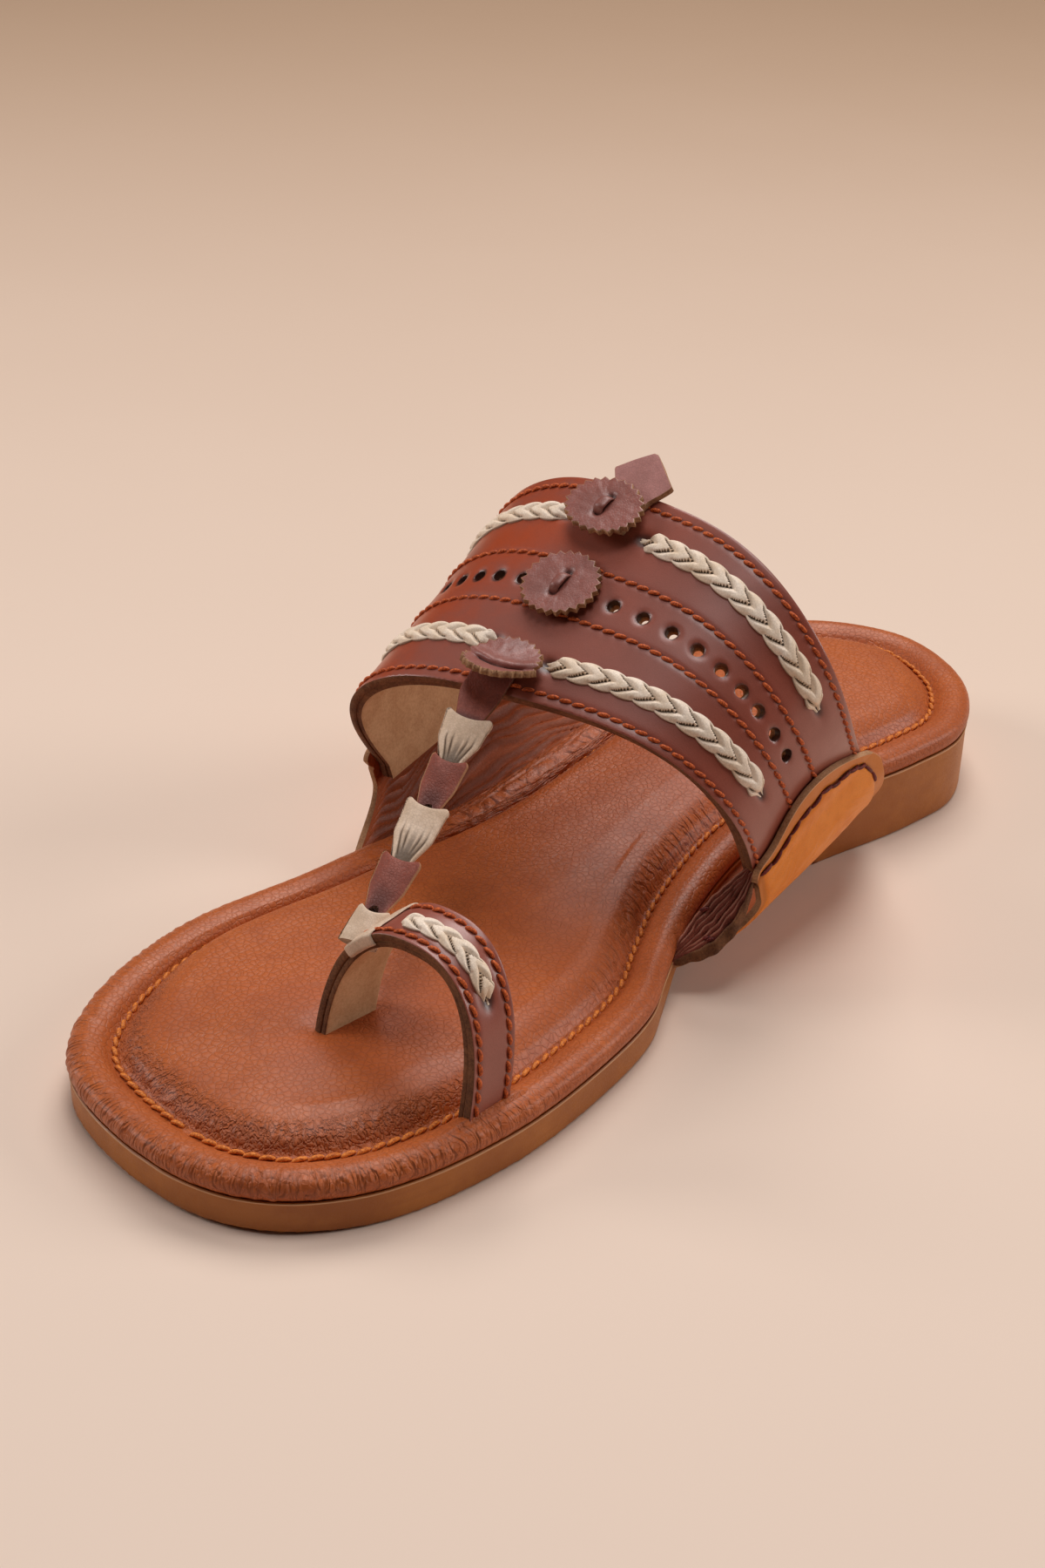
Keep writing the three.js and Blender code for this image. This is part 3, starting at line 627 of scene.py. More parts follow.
class Strap:
    """A strap between two edge arches. v is the share of the way from the inner foot (0) to the outer foot
    (1), s from the front edge (0) to the back edge (1), and lift the height off its outer face."""

    def __init__(self, front, back):
        self.edges = [self.even_arch(front), self.even_arch(back)]
        self.length = sum(edge[1] for edge in self.edges) / 2
        self.width = np.linalg.norm(self.face(0.5, 1.0) - self.face(0.5, 0.0))

    def even_arch(self, arch):
        angle = np.linspace(0, np.pi, 1201)
        rise = np.abs(np.sin(angle)) ** (2 / arch["power"])
        half = arch["half"] + arch["bulge"] * np.sin(np.pi * rise)
        dx = half * np.sign(np.cos(angle)) * np.abs(np.cos(angle)) ** (2 / arch["power"])
        dz = (arch["crown"] - arch["foot"]) * rise
        y = arch["y"] + arch["lean"] * dz + arch["curl"] * dz * dz / 50 + arch["skew"] * dx
        points = np.column_stack([arch["x"] + dx, y, arch["foot"] + dz])
        run = np.concatenate([[0], np.cumsum(np.linalg.norm(np.diff(points, axis=0), axis=1))])
        return points, run[-1], run / run[-1], arch["lean"]

    def edge(self, which, v):
        points, total, share, lean = self.edges[which]
        found = np.column_stack([np.interp(v, share, points[:, k]) for k in range(3)])
        beyond = np.maximum(np.maximum(-v, v - 1), 0) * total
        found[:, 2] -= beyond
        found[:, 1] -= lean * beyond * 0.5
        return found

    def face(self, v, s):
        v, s = np.broadcast_arrays(np.atleast_1d(v).astype(float), np.atleast_1d(s).astype(float))
        return self.edge(0, v) * (1 - s[:, None]) + self.edge(1, v) * s[:, None]

    def normal(self, v, s, step=0.004):
        v, s = np.broadcast_arrays(np.atleast_1d(v).astype(float), np.atleast_1d(s).astype(float))
        found = np.cross(
            self.face(v, s + step) - self.face(v, s - step), self.face(v + step, s) - self.face(v - step, s)
        )
        return found / np.linalg.norm(found, axis=1, keepdims=True)

    def at(self, v, s, lift=0.0):
        return (
            self.face(v, s) + self.normal(v, s)
            * np.reshape(np.broadcast_to(lift, np.broadcast(v, s).shape), (-1, 1))
        )


band = Strap(BAND_FRONT, BAND_BACK)
RIDGE_V = 0.541  # where the rosettes sit
BRAIDS = {  # where each plaited strip goes into its slits, as v and s
    "braid_front_inner": ((0.135, 0.245), (0.492, 0.17)),
    "braid_front_outer": ((0.59, 0.205), (0.88, 0.25)),
    "braid_back_inner": ((0.163, 0.815), (0.478, 0.815)),
    "braid_back_outer": ((0.603, 0.825), (0.86, 0.81)),
}


def nearest(strap, v, s, spots, long=1.0):
    """Distance in millimetres from points on a strap to the nearest of some spots; long stretches each
    spot along v."""
    best = np.full(np.shape(v), 99.0)
    for spot_v, spot_s in spots:
        best = np.minimum(best, np.hypot((v - spot_v) * strap.length / long, (s - spot_s) * strap.width))
    return best


def band_face(a, b):
    """The band's outer face, with its furrows under the stitches and its dents round holes and slits."""
    v = -BAND_TUCK / band.length + a * (1 + 2 * BAND_TUCK / band.length)
    s = b
    row_gap = np.min([np.abs(s - row) for row in STITCH_ROWS], axis=0) * band.width
    hole_gap = nearest(band, v, s, [(hole, HOLE_ROW) for hole in HOLES])
    slit_gap = nearest(band, v, s, [end for ends in BRAIDS.values() for end in ends], long=1.5)
    lift = -0.20 * np.exp(-((row_gap / 0.75) ** 2))
    lift = lift - 0.34 * np.exp(-((np.clip(hole_gap - HOLE_RADIUS + 0.15, 0, 9) / 0.55) ** 2))
    lift = lift - 1.0 * np.exp(-((slit_gap / 1.9) ** 2))
    points = band.at(v, s, lift)
    x, y, z = points.T
    points = points + band.normal(v, s) * (0.22 * speckle(x, y, z, 0.05))[:, None]
    return points, {"row_gap": row_gap, "hole_gap": hole_gap - HOLE_RADIUS, "slit_gap": slit_gap}


def lining_face(a, b, strap=None):
    strap = strap or band
    tuck = BAND_TUCK / strap.length
    v = -tuck + a * (1 + 2 * tuck)
    s = 0.004 + b * 0.992
    return strap.at(v, s, -FACE_WALL - 0.02), {"row_gap": s * 0 + 9}


def face_outwards(bm, centre):
    """Turns an open sheet so that its faces look away from a point in millimetres on the shoe."""
    bmesh.ops.recalc_face_normals(bm, faces=bm.faces)
    middle = Vector((np.array(centre) + shoe_origin) * mm)
    looking = sum((face.calc_center_median() - middle).normalized().dot(face.normal) for face in bm.faces)
    if looking < 0:
        bmesh.ops.reverse_faces(bm, faces=bm.faces)


def give_wall(piece, thickness, rim=1, back=2, bevel=0.3, even=True):
    """Gives a sheet its thickness, inwards, with its own material on the cut edge and on the back."""
    wall = piece.modifiers.new("wall", "SOLIDIFY")
    wall.thickness = thickness * mm
    wall.offset = -1
    wall.use_even_offset = even
    wall.material_offset_rim = rim
    wall.material_offset = back
    if bevel:
        soft = piece.modifiers.new("soft_edge", "BEVEL")
        soft.width = bevel * mm
        soft.segments = 2
        soft.limit_method = "ANGLE"
        soft.angle_limit = math.radians(50)
    return piece


def settle(piece):
    """Applies a piece's modifiers."""
    bpy.context.view_layer.update()
    evaluated = piece.evaluated_get(bpy.context.evaluated_depsgraph_get())
    mesh = bpy.data.meshes.new_from_object(evaluated)
    bm = bmesh.new()
    bm.from_mesh(mesh)
    bmesh.ops.remove_doubles(bm, verts=bm.verts, dist=MERGE * mm)
    drop_slivers(bm)
    bm.to_mesh(mesh)
    bm.free()
    piece.modifiers.clear()
    piece.data = mesh
    return piece


def plum_sheen_by_side(tree, place_on):
    """The band's colour: redder brown on the outer side of the shoe, and plum on the inner side, a painted
    sheen.
    """
    side = add_node(tree, "SeparateXYZ", {"Vector": place_on}).outputs[0]
    return blend_colour(tree, fade(tree, side, -0.030, 0.004), BAND_RED, BAND_PLUM_SHEEN)


# The inner side's plum is painted sheen.
BAND_PLUM_SHEEN = (0.33, 0.080, 0.050)
BAND_RED = (0.42, 0.062, 0.014)
BAND_DARK = (0.27, 0.060, 0.034)
RECESS_SHADE = (0.050, 0.014, 0.009)
# Painted shade darkens the stitch furrows, the dished rims of the holes and the dents at the braids' slits.
band_leather = leather(
    "band_leather", BAND_PLUM_SHEEN, BAND_DARK, pebble=2600, grain=0.022, rough=0.42, patch=30, gloss=0.55,
    shine=0.5, base=plum_sheen_by_side,
    tinted_by=[
        ("row_gap", 1.0, 0.15, RECESS_SHADE, 0.45), ("hole_gap", 0.5, -0.1, RECESS_SHADE, 0.85),
        ("slit_gap", 2.6, 1.0, RECESS_SHADE, 0.9),
    ],
)
RAW_EDGE = (0.25, 0.105, 0.046)
RAW_EDGE_DARK = (0.075, 0.027, 0.014)


def fibres(name, light, dark, fine=2200, depth=0.12, rough=0.85):
    """The cut edge of leather, or its suede: loose short fibres."""
    material, tree, shader = new_material(name)
    place_on = add_node(tree, "TexCoord").outputs["Object"]
    cloud = add_group(tree, mottle_group, {"Vector": place_on, "Patch": 180})
    nap = add_node(
        tree, "TexNoise", {"Vector": place_on, "Scale": fine, "Detail": 4, "Roughness": 0.7}
    ).outputs[0]
    tone = calculate(tree, "MULTIPLY_ADD", cloud["Tone"], 0.5, fade(tree, nap, 0.35, 0.68, 0.0, 0.5))
    tree.links.new(blend_colour(tree, tone, light, dark), shader.inputs["Base Color"])
    shader.inputs["Roughness"].default_value = rough
    shader.inputs["Specular IOR Level"].default_value = 0.25
    bump = add_node(tree, "Bump", {"Strength": 0.7, "Distance": depth * mm, "Height": nap})
    tree.links.new(bump.outputs[0], shader.inputs["Normal"])
    return material


raw_edge = fibres("raw_edge", RAW_EDGE, RAW_EDGE_DARK)
SUEDE = (0.68, 0.42, 0.23)
SUEDE_SHADE = (0.50, 0.27, 0.13)
suede = fibres("suede_lining", SUEDE, SUEDE_SHADE, fine=1700, depth=0.10)

# The cutting dies for the holes, all in one mesh.
bm = bmesh.new()
for hole in HOLES:
    out = Vector(band.normal(hole, HOLE_ROW)[0])
    where = (Vector(band.face(hole, HOLE_ROW)[0]) + Vector(shoe_origin)) * mm
    turn = Vector((0, 0, 1)).rotation_difference(out).to_matrix().to_4x4()
    bmesh.ops.create_cone(
        bm, cap_ends=True, segments=22, radius1=0.9 * mm, radius2=2.25 * mm, depth=9 * mm,
        matrix=Matrix.Translation(where) @ turn,
    )
die_mesh = bpy.data.meshes.new("punch_dies")
bm.to_mesh(die_mesh)
bm.free()
# The holes' walls are painted near-black: painted shade inside the holes.
die_mesh.materials.append(fibres("punched_wall", RAW_EDGE_DARK, RECESS_SHADE))
punch = bpy.data.objects.new("punch_dies", die_mesh)
bpy.context.scene.collection.objects.link(punch)

bm = bmesh.new()
lay(bm, 250, 88, band_face)
face_outwards(bm, (0, 150, 30))
instep_band = make_piece("instep_band", bm, [band_leather, raw_edge], "band_leather", ["upper"], closed=False)
give_wall(instep_band, FACE_WALL, rim=1, back=1, bevel=0)
bm = bmesh.new()
lay(bm, 130, 44, lining_face)
face_outwards(bm, (0, 150, 30))
band_lining = make_piece("band_lining", bm, [suede, raw_edge], None, closed=False)
give_wall(band_lining, LINING_WALL, rim=1, back=0, bevel=0)
for piece in (instep_band, band_lining):
    punched = piece.modifiers.new("holes", "BOOLEAN")
    punched.operation = "DIFFERENCE"
    punched.object = punch
    punched.solver = "MANIFOLD"
    soft = piece.modifiers.new("soft_edge", "BEVEL")
    soft.width = 0.28 * mm
    soft.segments = 2
    soft.limit_method = "ANGLE"
    soft.angle_limit = math.radians(50)
    settle(piece)
bpy.data.objects.remove(punch)

THREAD_RUST = (0.68, 0.135, 0.025)
THREAD_RUST_DEEP = (0.34, 0.055, 0.014)
band_thread = thread("band_thread", THREAD_RUST, THREAD_RUST_DEEP)
bm = bmesh.new()
random.seed(5)
band_stitch = stitch_shape(3.1, 0.92, 0.5)
reach = np.linspace(0.015, 0.985, 500)
for row in STITCH_ROWS:
    s = np.full_like(reach, row)
    sew(bm, band_stitch, band.at(reach, s, 0.2), band.normal(reach, s), 3.15, slant=12)
make_piece("band_stitches", bm, [band_thread], sharp=180)

# ---- Toe loop ----
# A narrow strap of the same lined leather round the big toe. Its feet go down through slits in the footbed
# and are cemented under it. A row of stitches runs along each edge.
LOOP_TUCK = 5.8
LOOP_ROWS = (0.14, 0.86)
LOOP_BRAID = ((0.275, 0.5), (0.585, 0.42))
LOOP_FRONT = {
    "x": 28.4, "half": 21.4, "bulge": 0, "power": 2.42, "foot": 14, "crown": 44.8,
    "y": 46.7, "lean": 0.19, "curl": 0, "skew": 0.05,
}
LOOP_BACK = {
    "x": 29.2, "half": 20.8, "bulge": 0, "power": 2.45, "foot": 13.6, "crown": 46.7,
    "y": 59.7, "lean": 0.17, "curl": 0, "skew": 0,
}
loop = Strap(LOOP_FRONT, LOOP_BACK)


def loop_face(a, b):
    v = -LOOP_TUCK / loop.length + a * (1 + 2 * LOOP_TUCK / loop.length)
    row_gap = np.min([np.abs(b - row) for row in LOOP_ROWS], axis=0) * loop.width
    slit_gap = nearest(loop, v, b, LOOP_BRAID[:1], long=1.4)
    foot = np.minimum(v, 1 - v) * loop.length
    lift = -0.24 * np.exp(-((row_gap / 0.7) ** 2)) - 0.8 * np.exp(-((slit_gap / 1.8) ** 2))
    x, y, z = loop.face(v, b).T
    lift = lift + 0.15 * speckle(x, y, z, 0.12)
    return loop.at(v, b, lift), {
        "row_gap": row_gap, "hole_gap": b * 0 + 9, "slit_gap": slit_gap,
        "foot": np.exp(-(((foot - 1.0) / 2.2) ** 2)),
    }


def loop_lining_face(a, b):
    v = -LOOP_TUCK / loop.length + a * (1 + 2 * LOOP_TUCK / loop.length)
    return loop.at(v, 0.012 + b * 0.976, -FACE_WALL - 0.02), {}


bm = bmesh.new()
lay(bm, 120, 26, loop_face)
face_outwards(bm, (28.8, 53, 20))
toe_loop = make_piece("toe_loop", bm, [band_leather, raw_edge], "band_leather", ["upper"], closed=False)
settle(give_wall(toe_loop, FACE_WALL, rim=1, back=1, bevel=0.3))
bm = bmesh.new()
lay(bm, 80, 14, loop_lining_face)
face_outwards(bm, (28.8, 53, 20))
loop_lining = make_piece("toe_loop_lining", bm, [suede, raw_edge], None, closed=False)
settle(give_wall(loop_lining, LINING_WALL, rim=1, back=0, bevel=0.25))
bm = bmesh.new()
random.seed(6)
reach = np.linspace(0.0, 1.0, 200)
for row in LOOP_ROWS:
    s = np.full_like(reach, row)
    sew(bm, band_stitch, loop.at(reach, s, 0.2), loop.normal(reach, s), 3.1, slant=12)
make_piece("toe_loop_stitches", bm, [band_thread], sharp=180)

# ---- Link chain ----
# A slack chain from the loop's outer shoulder up to the band: short folded straps, brown and beige in turn,
# each with its gathered lower end pushed into the folded top of the next. The first one goes up over the
# band's front edge, and the last beige strap is wrapped round the loop.
STRAP_WALL = 2.6
CHAIN_SAG = 1.6
FREE_SHARE = 0.91


def chain_point(t):
    start = loop.at(0.69, 0.3, STRAP_WALL / 2 - 0.6)
    edge = band.at(0.556, -0.04, STRAP_WALL / 2 - 0.2)
    over = band.at(0.556, 0.09, STRAP_WALL / 2 - 0.2)
    t = np.atleast_1d(t).astype(float)[:, None]
    free = start + (edge - start) * t / FREE_SHARE
    free[:, 2] -= CHAIN_SAG * np.sin(np.pi * t[:, 0] / FREE_SHARE)
    return np.where(t > FREE_SHARE, edge + (over - edge) * (t - FREE_SHARE) / (1 - FREE_SHARE), free)


def chain_frame(t):
    """The chain's middle line, and the directions along it, across it and out of its face."""
    ahead = chain_point(np.asarray(t) + 0.02) - chain_point(np.asarray(t) - 0.02)
    ahead /= np.linalg.norm(ahead, axis=1, keepdims=True)
    across = np.cross((0.2, 0, 1), ahead)
    across /= np.linalg.norm(across, axis=1, keepdims=True)
    return chain_point(t), ahead, across, np.cross(ahead, across)


CHAIN_LENGTH = float(np.linalg.norm(np.diff(chain_point(np.linspace(0, 1, 60)), axis=0), axis=1).sum())
# leather, place of the rim and of the tip along the chain, half widths at rim, middle and tip
CHAIN_LINKS = [
    ("bone", 0.835, 0.625, 5.5, 4.8, 2.0),
    ("brown", 0.672, 0.44, 4.3, 3.9, 2.2),
    ("bone", 0.498, 0.235, 4.9, 4.4, 1.7),
    ("brown", 0.290, 0.035, 4.5, 3.9, 1.9),
    ("bone", 0.085, -0.055, 3.6, 4.0, 4.2),
]
RIM_DIP = 2.2
GATHERS = (-0.62, -0.34, -0.06, 0.22, 0.52)


def link_place(rim, tip, wide, middle, narrow, gathered, folded):
    """A folded strap seen as a tulip: open and hollow at its rim, drawn together at its tip."""
    long = (rim - tip) * CHAIN_LENGTH

    def place(a, b):
        angle = 2 * np.pi * a
        down = np.interp(b, [0, 0.12, 0.17, 0.22, 1], [3.2, 0.35, 0.0, 0.35, long])
        inside = np.interp(b, [0, 0.12, 0.17, 0.22, 1], [0.72, 0.80, 0.90, 1.0, 1.0])
        share = down / long
        half = np.interp(
            share, [0, 0.05, 0.25, 0.5, 0.78, 1],
            [wide * 0.93, wide, (wide + middle) / 2, middle, (middle + 2 * narrow) / 3, narrow]
        )
        thick = np.interp(share, [0, 0.3, 0.75, 1], [2.0, 1.75, 1.45, 1.1])
        x = half * inside * np.sign(np.cos(angle)) * np.abs(np.cos(angle)) ** 0.85
        lift = thick * inside * np.sign(np.sin(angle)) * np.abs(np.sin(angle)) ** 0.7
        crease = sum(np.exp(-(((np.cos(angle) - gather) * half / 0.42) ** 2)) for gather in GATHERS)
        drawn = smooth(0.06, 0.62, share) * (np.sin(angle) > 0) * gathered * (0.0 if folded else 1.0)
        lift = lift - 0.55 * crease * drawn
        lift = lift - 0.10 * x * x / 5 * np.sign(lift)
        hollow = (
            smooth(0.15, 0.95, share) * np.clip(1 - (x / half) ** 2, 0, 1) * (np.sin(angle) > 0)
            * (1 - gathered)
        )
        lift = lift - 1.25 * hollow
        down = down + RIM_DIP * np.sin(angle) ** 2 * (1 - smooth(0.0, 0.85, share))
        middle_line, _, across, up = chain_frame(rim - down / CHAIN_LENGTH)
        points = middle_line + across * x[:, None] + up * lift[:, None]
        px, py, pz = points.T
        points += up * (0.14 * speckle(px, py, pz, 0.35))[:, None]
        # The crease mark paints the gathers dark, and the hollow mark the brown cup's hollow: painted shade.
        return points, {
            "crease": np.clip(crease * drawn, 0, 1) * 0.7,
            "edge": np.abs(np.cos(angle)) ** 6 * (1 - gathered), "hollow": hollow,
        }

    return place


BONE = (0.76, 0.57, 0.43)
BONE_SHADE = (0.62, 0.44, 0.31)
BONE_DEEP_SHADE = (0.09, 0.050, 0.026)
# Painted shade darkens the gathered creases.
bone_leather = leather(
    "bone_leather", BONE, BONE_SHADE, pebble=1500, grain=0.06, rough=0.52, patch=160,
    tinted_by=[("crease", 0.12, 0.75, BONE_DEEP_SHADE, 0.92), ("edge", 0.35, 0.95, BONE_DEEP_SHADE, 0.85)],
)
TRIM_PLUM = (0.32, 0.098, 0.075)
TRIM_DARK = (0.23, 0.063, 0.045)
TRIM_EDGE = (0.46, 0.24, 0.12)
# Painted shade: the crease mark darkens round the rosettes' bar, its two holes and the front disc's slit.
trim_leather = leather(
    "trim_leather", TRIM_PLUM, TRIM_DARK, pebble=1500, grain=0.09, rough=0.46, patch=90, shine=0.5, gloss=0.4,
    tinted_by=[("edge", 0.45, 0.95, TRIM_EDGE, 0.9), ("crease", 0.3, 1.0, RECESS_SHADE, 0.8)],
)
CHAIN_HOLLOW_SHADE = (0.085, 0.017, 0.012)
CHAIN_BROWN = (0.30, 0.072, 0.045)
CHAIN_DARK = (0.21, 0.050, 0.032)
# Painted shade darkens the hollow of each brown cup and the strap where it goes down into the first cup; the
# tan edges are the cut edges.
chain_leather = leather(
    "chain_leather", CHAIN_BROWN, CHAIN_DARK, pebble=1300, grain=0.14, rough=0.52, patch=90, shine=0.3,
    tinted_by=[("hollow", 0.05, 0.75, CHAIN_HOLLOW_SHADE, 0.8), ("edge", 0.45, 0.9, TRIM_EDGE, 0.9)],
)
for kind, paint, slot in (("bone", bone_leather, "braid_leather"), ("brown", chain_leather, "trim_leather")):
    bm = bmesh.new()
    for leather_kind, *sizes in CHAIN_LINKS:
        if leather_kind == kind:
            lay(bm, 56, 34, link_place(*sizes, gathered=float(kind == "bone"), folded=sizes[1] < 0))
    bmesh.ops.remove_doubles(bm, verts=bm.verts, dist=0.003 * mm)
    bmesh.ops.holes_fill(bm, edges=bm.edges, sides=0)
    make_piece(f"chain_links_{kind}", bm, [paint], slot)


def chain_strap_place(a, b):
    """The strap that leaves the band from under the front rosette and goes down into the first link."""
    t = 1.0 - a * 0.235
    half = np.interp(t, [0.765, 0.80, 0.87, 0.91, 1.0], [2.4, 2.8, 4.1, 4.8, 4.9])
    x = (b * 2 - 1) * half
    middle_line, ahead, across, up = chain_frame(np.clip(t, 0, 0.98))
    lift = 0.9 - 0.012 * x * x + 0.12 * speckle(x, t * CHAIN_LENGTH, x * 0, 0.4)
    rest = np.where(t > 0.98, (t - 0.98) * CHAIN_LENGTH, 0)
    points = middle_line + ahead * rest[:, None] + across * x[:, None] + up * lift[:, None]
    # The hollow mark paints the strap dark where it lies inside the first cup: painted shade.
    return points, {"edge": x * 0, "hollow": 0.9 * np.exp(-(((t - 0.80) / 0.03) ** 2))}


bm = bmesh.new()
lay(bm, 30, 14, chain_strap_place)
face_outwards(bm, (0, 130, 20))
chain_strap = make_piece("chain_strap", bm, [chain_leather, raw_edge], "trim_leather", closed=False)
settle(give_wall(chain_strap, 1.5, rim=1, back=1, bevel=0.25))


def wrap_place(a, b):
    """The last strap's sleeve round the loop: a goes round the loop's section, b round its own wall."""
    turn = 2 * np.pi * a
    across = 0.5 + 0.55 * np.sign(np.cos(turn)) * np.abs(np.cos(turn)) ** 0.35
    lift = -1.15 + 1.75 * np.sign(np.sin(turn)) * np.abs(np.sin(turn)) ** 0.35
    own = 2 * np.pi * b
    shell = 0.5 + 0.5 * np.sign(np.sin(own)) * np.abs(np.sin(own)) ** 0.4
    v = 0.668 + 0.046 * np.sign(np.cos(own)) * np.abs(np.cos(own)) ** 0.5 * (1 - 0.12 * (across - 0.5))
    lift = -1.15 + (lift + 1.15) * (0.72 + 0.28 * shell)
    across = 0.5 + (across - 0.5) * (0.9 + 0.1 * shell)
    px, py, pz = loop.face(v, across).T
    return loop.at(v, across, lift + 0.12 * speckle(px, py, pz, 0.5)), {"crease": a * 0, "edge": a * 0}


bm = bmesh.new()
lay(bm, 84, 22, wrap_place)
make_piece("chain_wrap", bm, [bone_leather], "braid_leather")

# ---- Braids ----
# Flat bone-coloured plaits of three leather strips, laid on the strap. Each crossing lies over the next one
# like a scale, with a slit at its point, painted dark as painted shade. The ends go down through oval slits
# and are cemented beneath.
ARM_SLOPE = 1.7
PLAITS = {  # pitch of the crossings, half width, and whether they point to the end (1) or to the start (-1)
    "braid_front_inner": (5.5, 2.85, -1), "braid_front_outer": (5.5, 2.85, 1),
    "braid_back_inner": (5.7, 2.85, -1), "braid_back_outer": (5.5, 2.85, 1), "braid_toe_loop": (4.9, 2.5, 1),
}


def plait_place(strap, start, end, pitch, half, pointing):
    shares = np.linspace(0, 1, 60)[:, None]
    middle = np.array(start) * (1 - shares) + np.array(end) * shares
    long = float(np.linalg.norm(np.diff(strap.face(middle[:, 0], middle[:, 1]), axis=0), axis=1).sum())

    def place(a, b):
        along = -1.5 + a * (long + 3.0)
        turn = 2 * np.pi * b
        side = np.sign(np.cos(turn)) * np.abs(np.cos(turn)) ** 0.85
        crossing = (along * pointing + ARM_SLOPE * np.abs(side) * half + 0.3 * side) / pitch
        at_edge = (along * pointing + 1.15 * half + 0.9 * np.sign(side)) / pitch
        since = crossing % 1.0
        central = 1 - smooth(0.6, 0.94, np.abs(side))
        scallop = np.abs(np.sin(np.pi * at_edge)) ** 0.7
        x = side * half * (0.80 + 0.20 * scallop)
        dome = 0.50 + 0.42 * (1 - np.abs(side) ** 3)
        scale = central * (-0.62 + 0.90 * smooth(0.0, 0.5, since) - 0.14 * smooth(0.86, 1.0, since))
        top = dome + scale + (1 - central) * 0.34 * (scallop - 0.5)
        height = (
            np.where(np.sin(turn) > 0, top * np.abs(np.sin(turn)) ** 0.4, -0.3 * np.abs(np.sin(turn)) ** 0.4)
            + 0.15
        )
        slit = np.exp(-((since * pitch / 0.46) ** 2)) * (1 - smooth(0.66, 0.92, np.abs(side)))
        open_share = smooth(-1.0, 2.6, along) * smooth(-1.0, 2.6, long - along)
        x = x * (0.5 + 0.5 * open_share)
        height = height - 1.9 * (1 - open_share)
        share = along / long
        v = start[0] + (end[0] - start[0]) * share
        s = start[1] + (end[1] - start[1]) * share
        step = 0.004
        ahead = strap.face(v + (end[0] - start[0]) * step, s + (end[1] - start[1]) * step) - strap.face(v, s)
        normal = strap.normal(v, s)
        across = np.cross(normal, ahead)
        across /= np.linalg.norm(across, axis=1, keepdims=True)
        points = strap.face(v, s) + normal * height[:, None] + across * x[:, None]
        # The strips' side edges and the slits are painted dark: painted shade.
        return points, {"edge": smooth(0.9, 1.0, np.abs(side)) * 0.7, "crease": slit * 1.3}

    return place, long


BRAID_BONE = (0.96, 0.80, 0.66)
BRAID_SHADE = (0.84, 0.65, 0.48)
# Painted shade darkens the slits and the strips' side edges.
braid_leather = leather(
    "braid_leather", BRAID_BONE, BRAID_SHADE, pebble=1500, grain=0.05, rough=0.5, patch=160,
    tinted_by=[("crease", 0.1, 0.7, BONE_DEEP_SHADE, 0.95), ("edge", 0.35, 0.95, BONE_DEEP_SHADE, 0.85)],
)
braid_places = [(n, band, ends) for n, ends in BRAIDS.items()] + [("braid_toe_loop", loop, LOOP_BRAID)]
for name, strap, (start, end) in braid_places:
    place, long = plait_place(strap, start, end, *PLAITS[name])
    bm = bmesh.new()
    lay(bm, int(long / 0.15), 56, place)
    bmesh.ops.remove_doubles(bm, verts=bm.verts, dist=0.003 * mm)
    bmesh.ops.holes_fill(bm, edges=bm.edges, sides=0)
    make_piece(f"{name}_plait", bm, [braid_leather], "braid_leather", [name])

# ---- Rosettes ----
# Three pinked leather discs on the band's ridge. Each is held by a narrow leather bar that comes up through
# a hole, lies over the middle and goes down again. The front one stands up off the chain's strap.
TRIM_WALL = 1.6
ROSETTE_RADIUS = 9.6
ROSETTE_TEETH = 25
ROSETTES = {  # place along the ridge, lift, tilt, how far it is flattened front to back, whether a bar shows
    "rosette_front": (0.085, 0.0, 0.34, 0.84, False),
    "rosette_middle": (0.503, 0.1, 0.07, 0.90, True),
    "rosette_back": (0.862, TRIM_WALL + GAP, 0.10, 0.80, True),
}


def rosette_point(s, lift, tilt, squash, x, y, height):
    """A point on a rosette's underside, x and y millimetres from its middle, and height above it."""
    y = y * squash
    return band.at(
        RIDGE_V - x / band.length, s + y / band.width, GAP + lift + tilt * (ROSETTE_RADIUS - y) + height
    )


def rosette_place(s, lift, tilt, squash, bar, seed):
    def place(a, b):
        angle = 2 * np.pi * a
        frayed = speckle(np.cos(angle) * 9, np.sin(angle) * 9, a * 0 + seed, 1.3)
        tooth = np.abs(((ROSETTE_TEETH * a + 0.37 * seed) % 1) * 2 - 1) ** 0.8
        radius = ROSETTE_RADIUS + 0.35 - 1.15 * tooth * (1 + 0.5 * frayed) + 0.25 * frayed
        r = b * radius
        x, y = r * np.cos(angle), r * np.sin(angle)
        ruffle = (
            speckle(np.cos(angle) * 3, np.sin(angle) * 3, a * 0 + seed * 2, 0.45) * 0.35 * smooth(0.4, 1, b)
        )
        # dark is painted shade: round the bar, in its two holes and in the front disc's slit.
        if bar:
            away = np.hypot(x, np.maximum(np.abs(y) - 3.1, 0))
            hole = sum(np.exp(-((np.hypot(x - end * 0.35, y - end * 3.2) / 1.0) ** 2)) for end in (-1, 1))
            press = 0.3 * np.exp(-((away / 1.7) ** 2)) + 0.9 * hole
            dark = np.clip(np.exp(-((away / 1.5) ** 2)) * 0.35 + 1.2 * hole, 0, 1)
        else:
            bow = y + 1.8 - 0.03 * x * x
            slit = np.exp(-((bow / 0.5) ** 2)) * (1 - smooth(5.6, 7.8, np.abs(x)))
            press = 0.8 * slit - 0.7 * np.exp(-(((bow - 1.6) / 1.6) ** 2)) - 0.5 * np.clip(-bow - 0.3, 0, 9)
            dark = slit
            y = np.where(bow < 0, y - 0.42 * bow, y)  # the front lip stands up, pushed by the strap under it
        height = TRIM_WALL + ruffle - press + 0.10 * speckle(x, y, x * 0 + seed, 0.5)
        return rosette_point(s, lift, tilt, squash, x, y, height), {
            "edge": smooth(0.95, 1.0, b) * 0.9, "crease": dark
        }

    return place


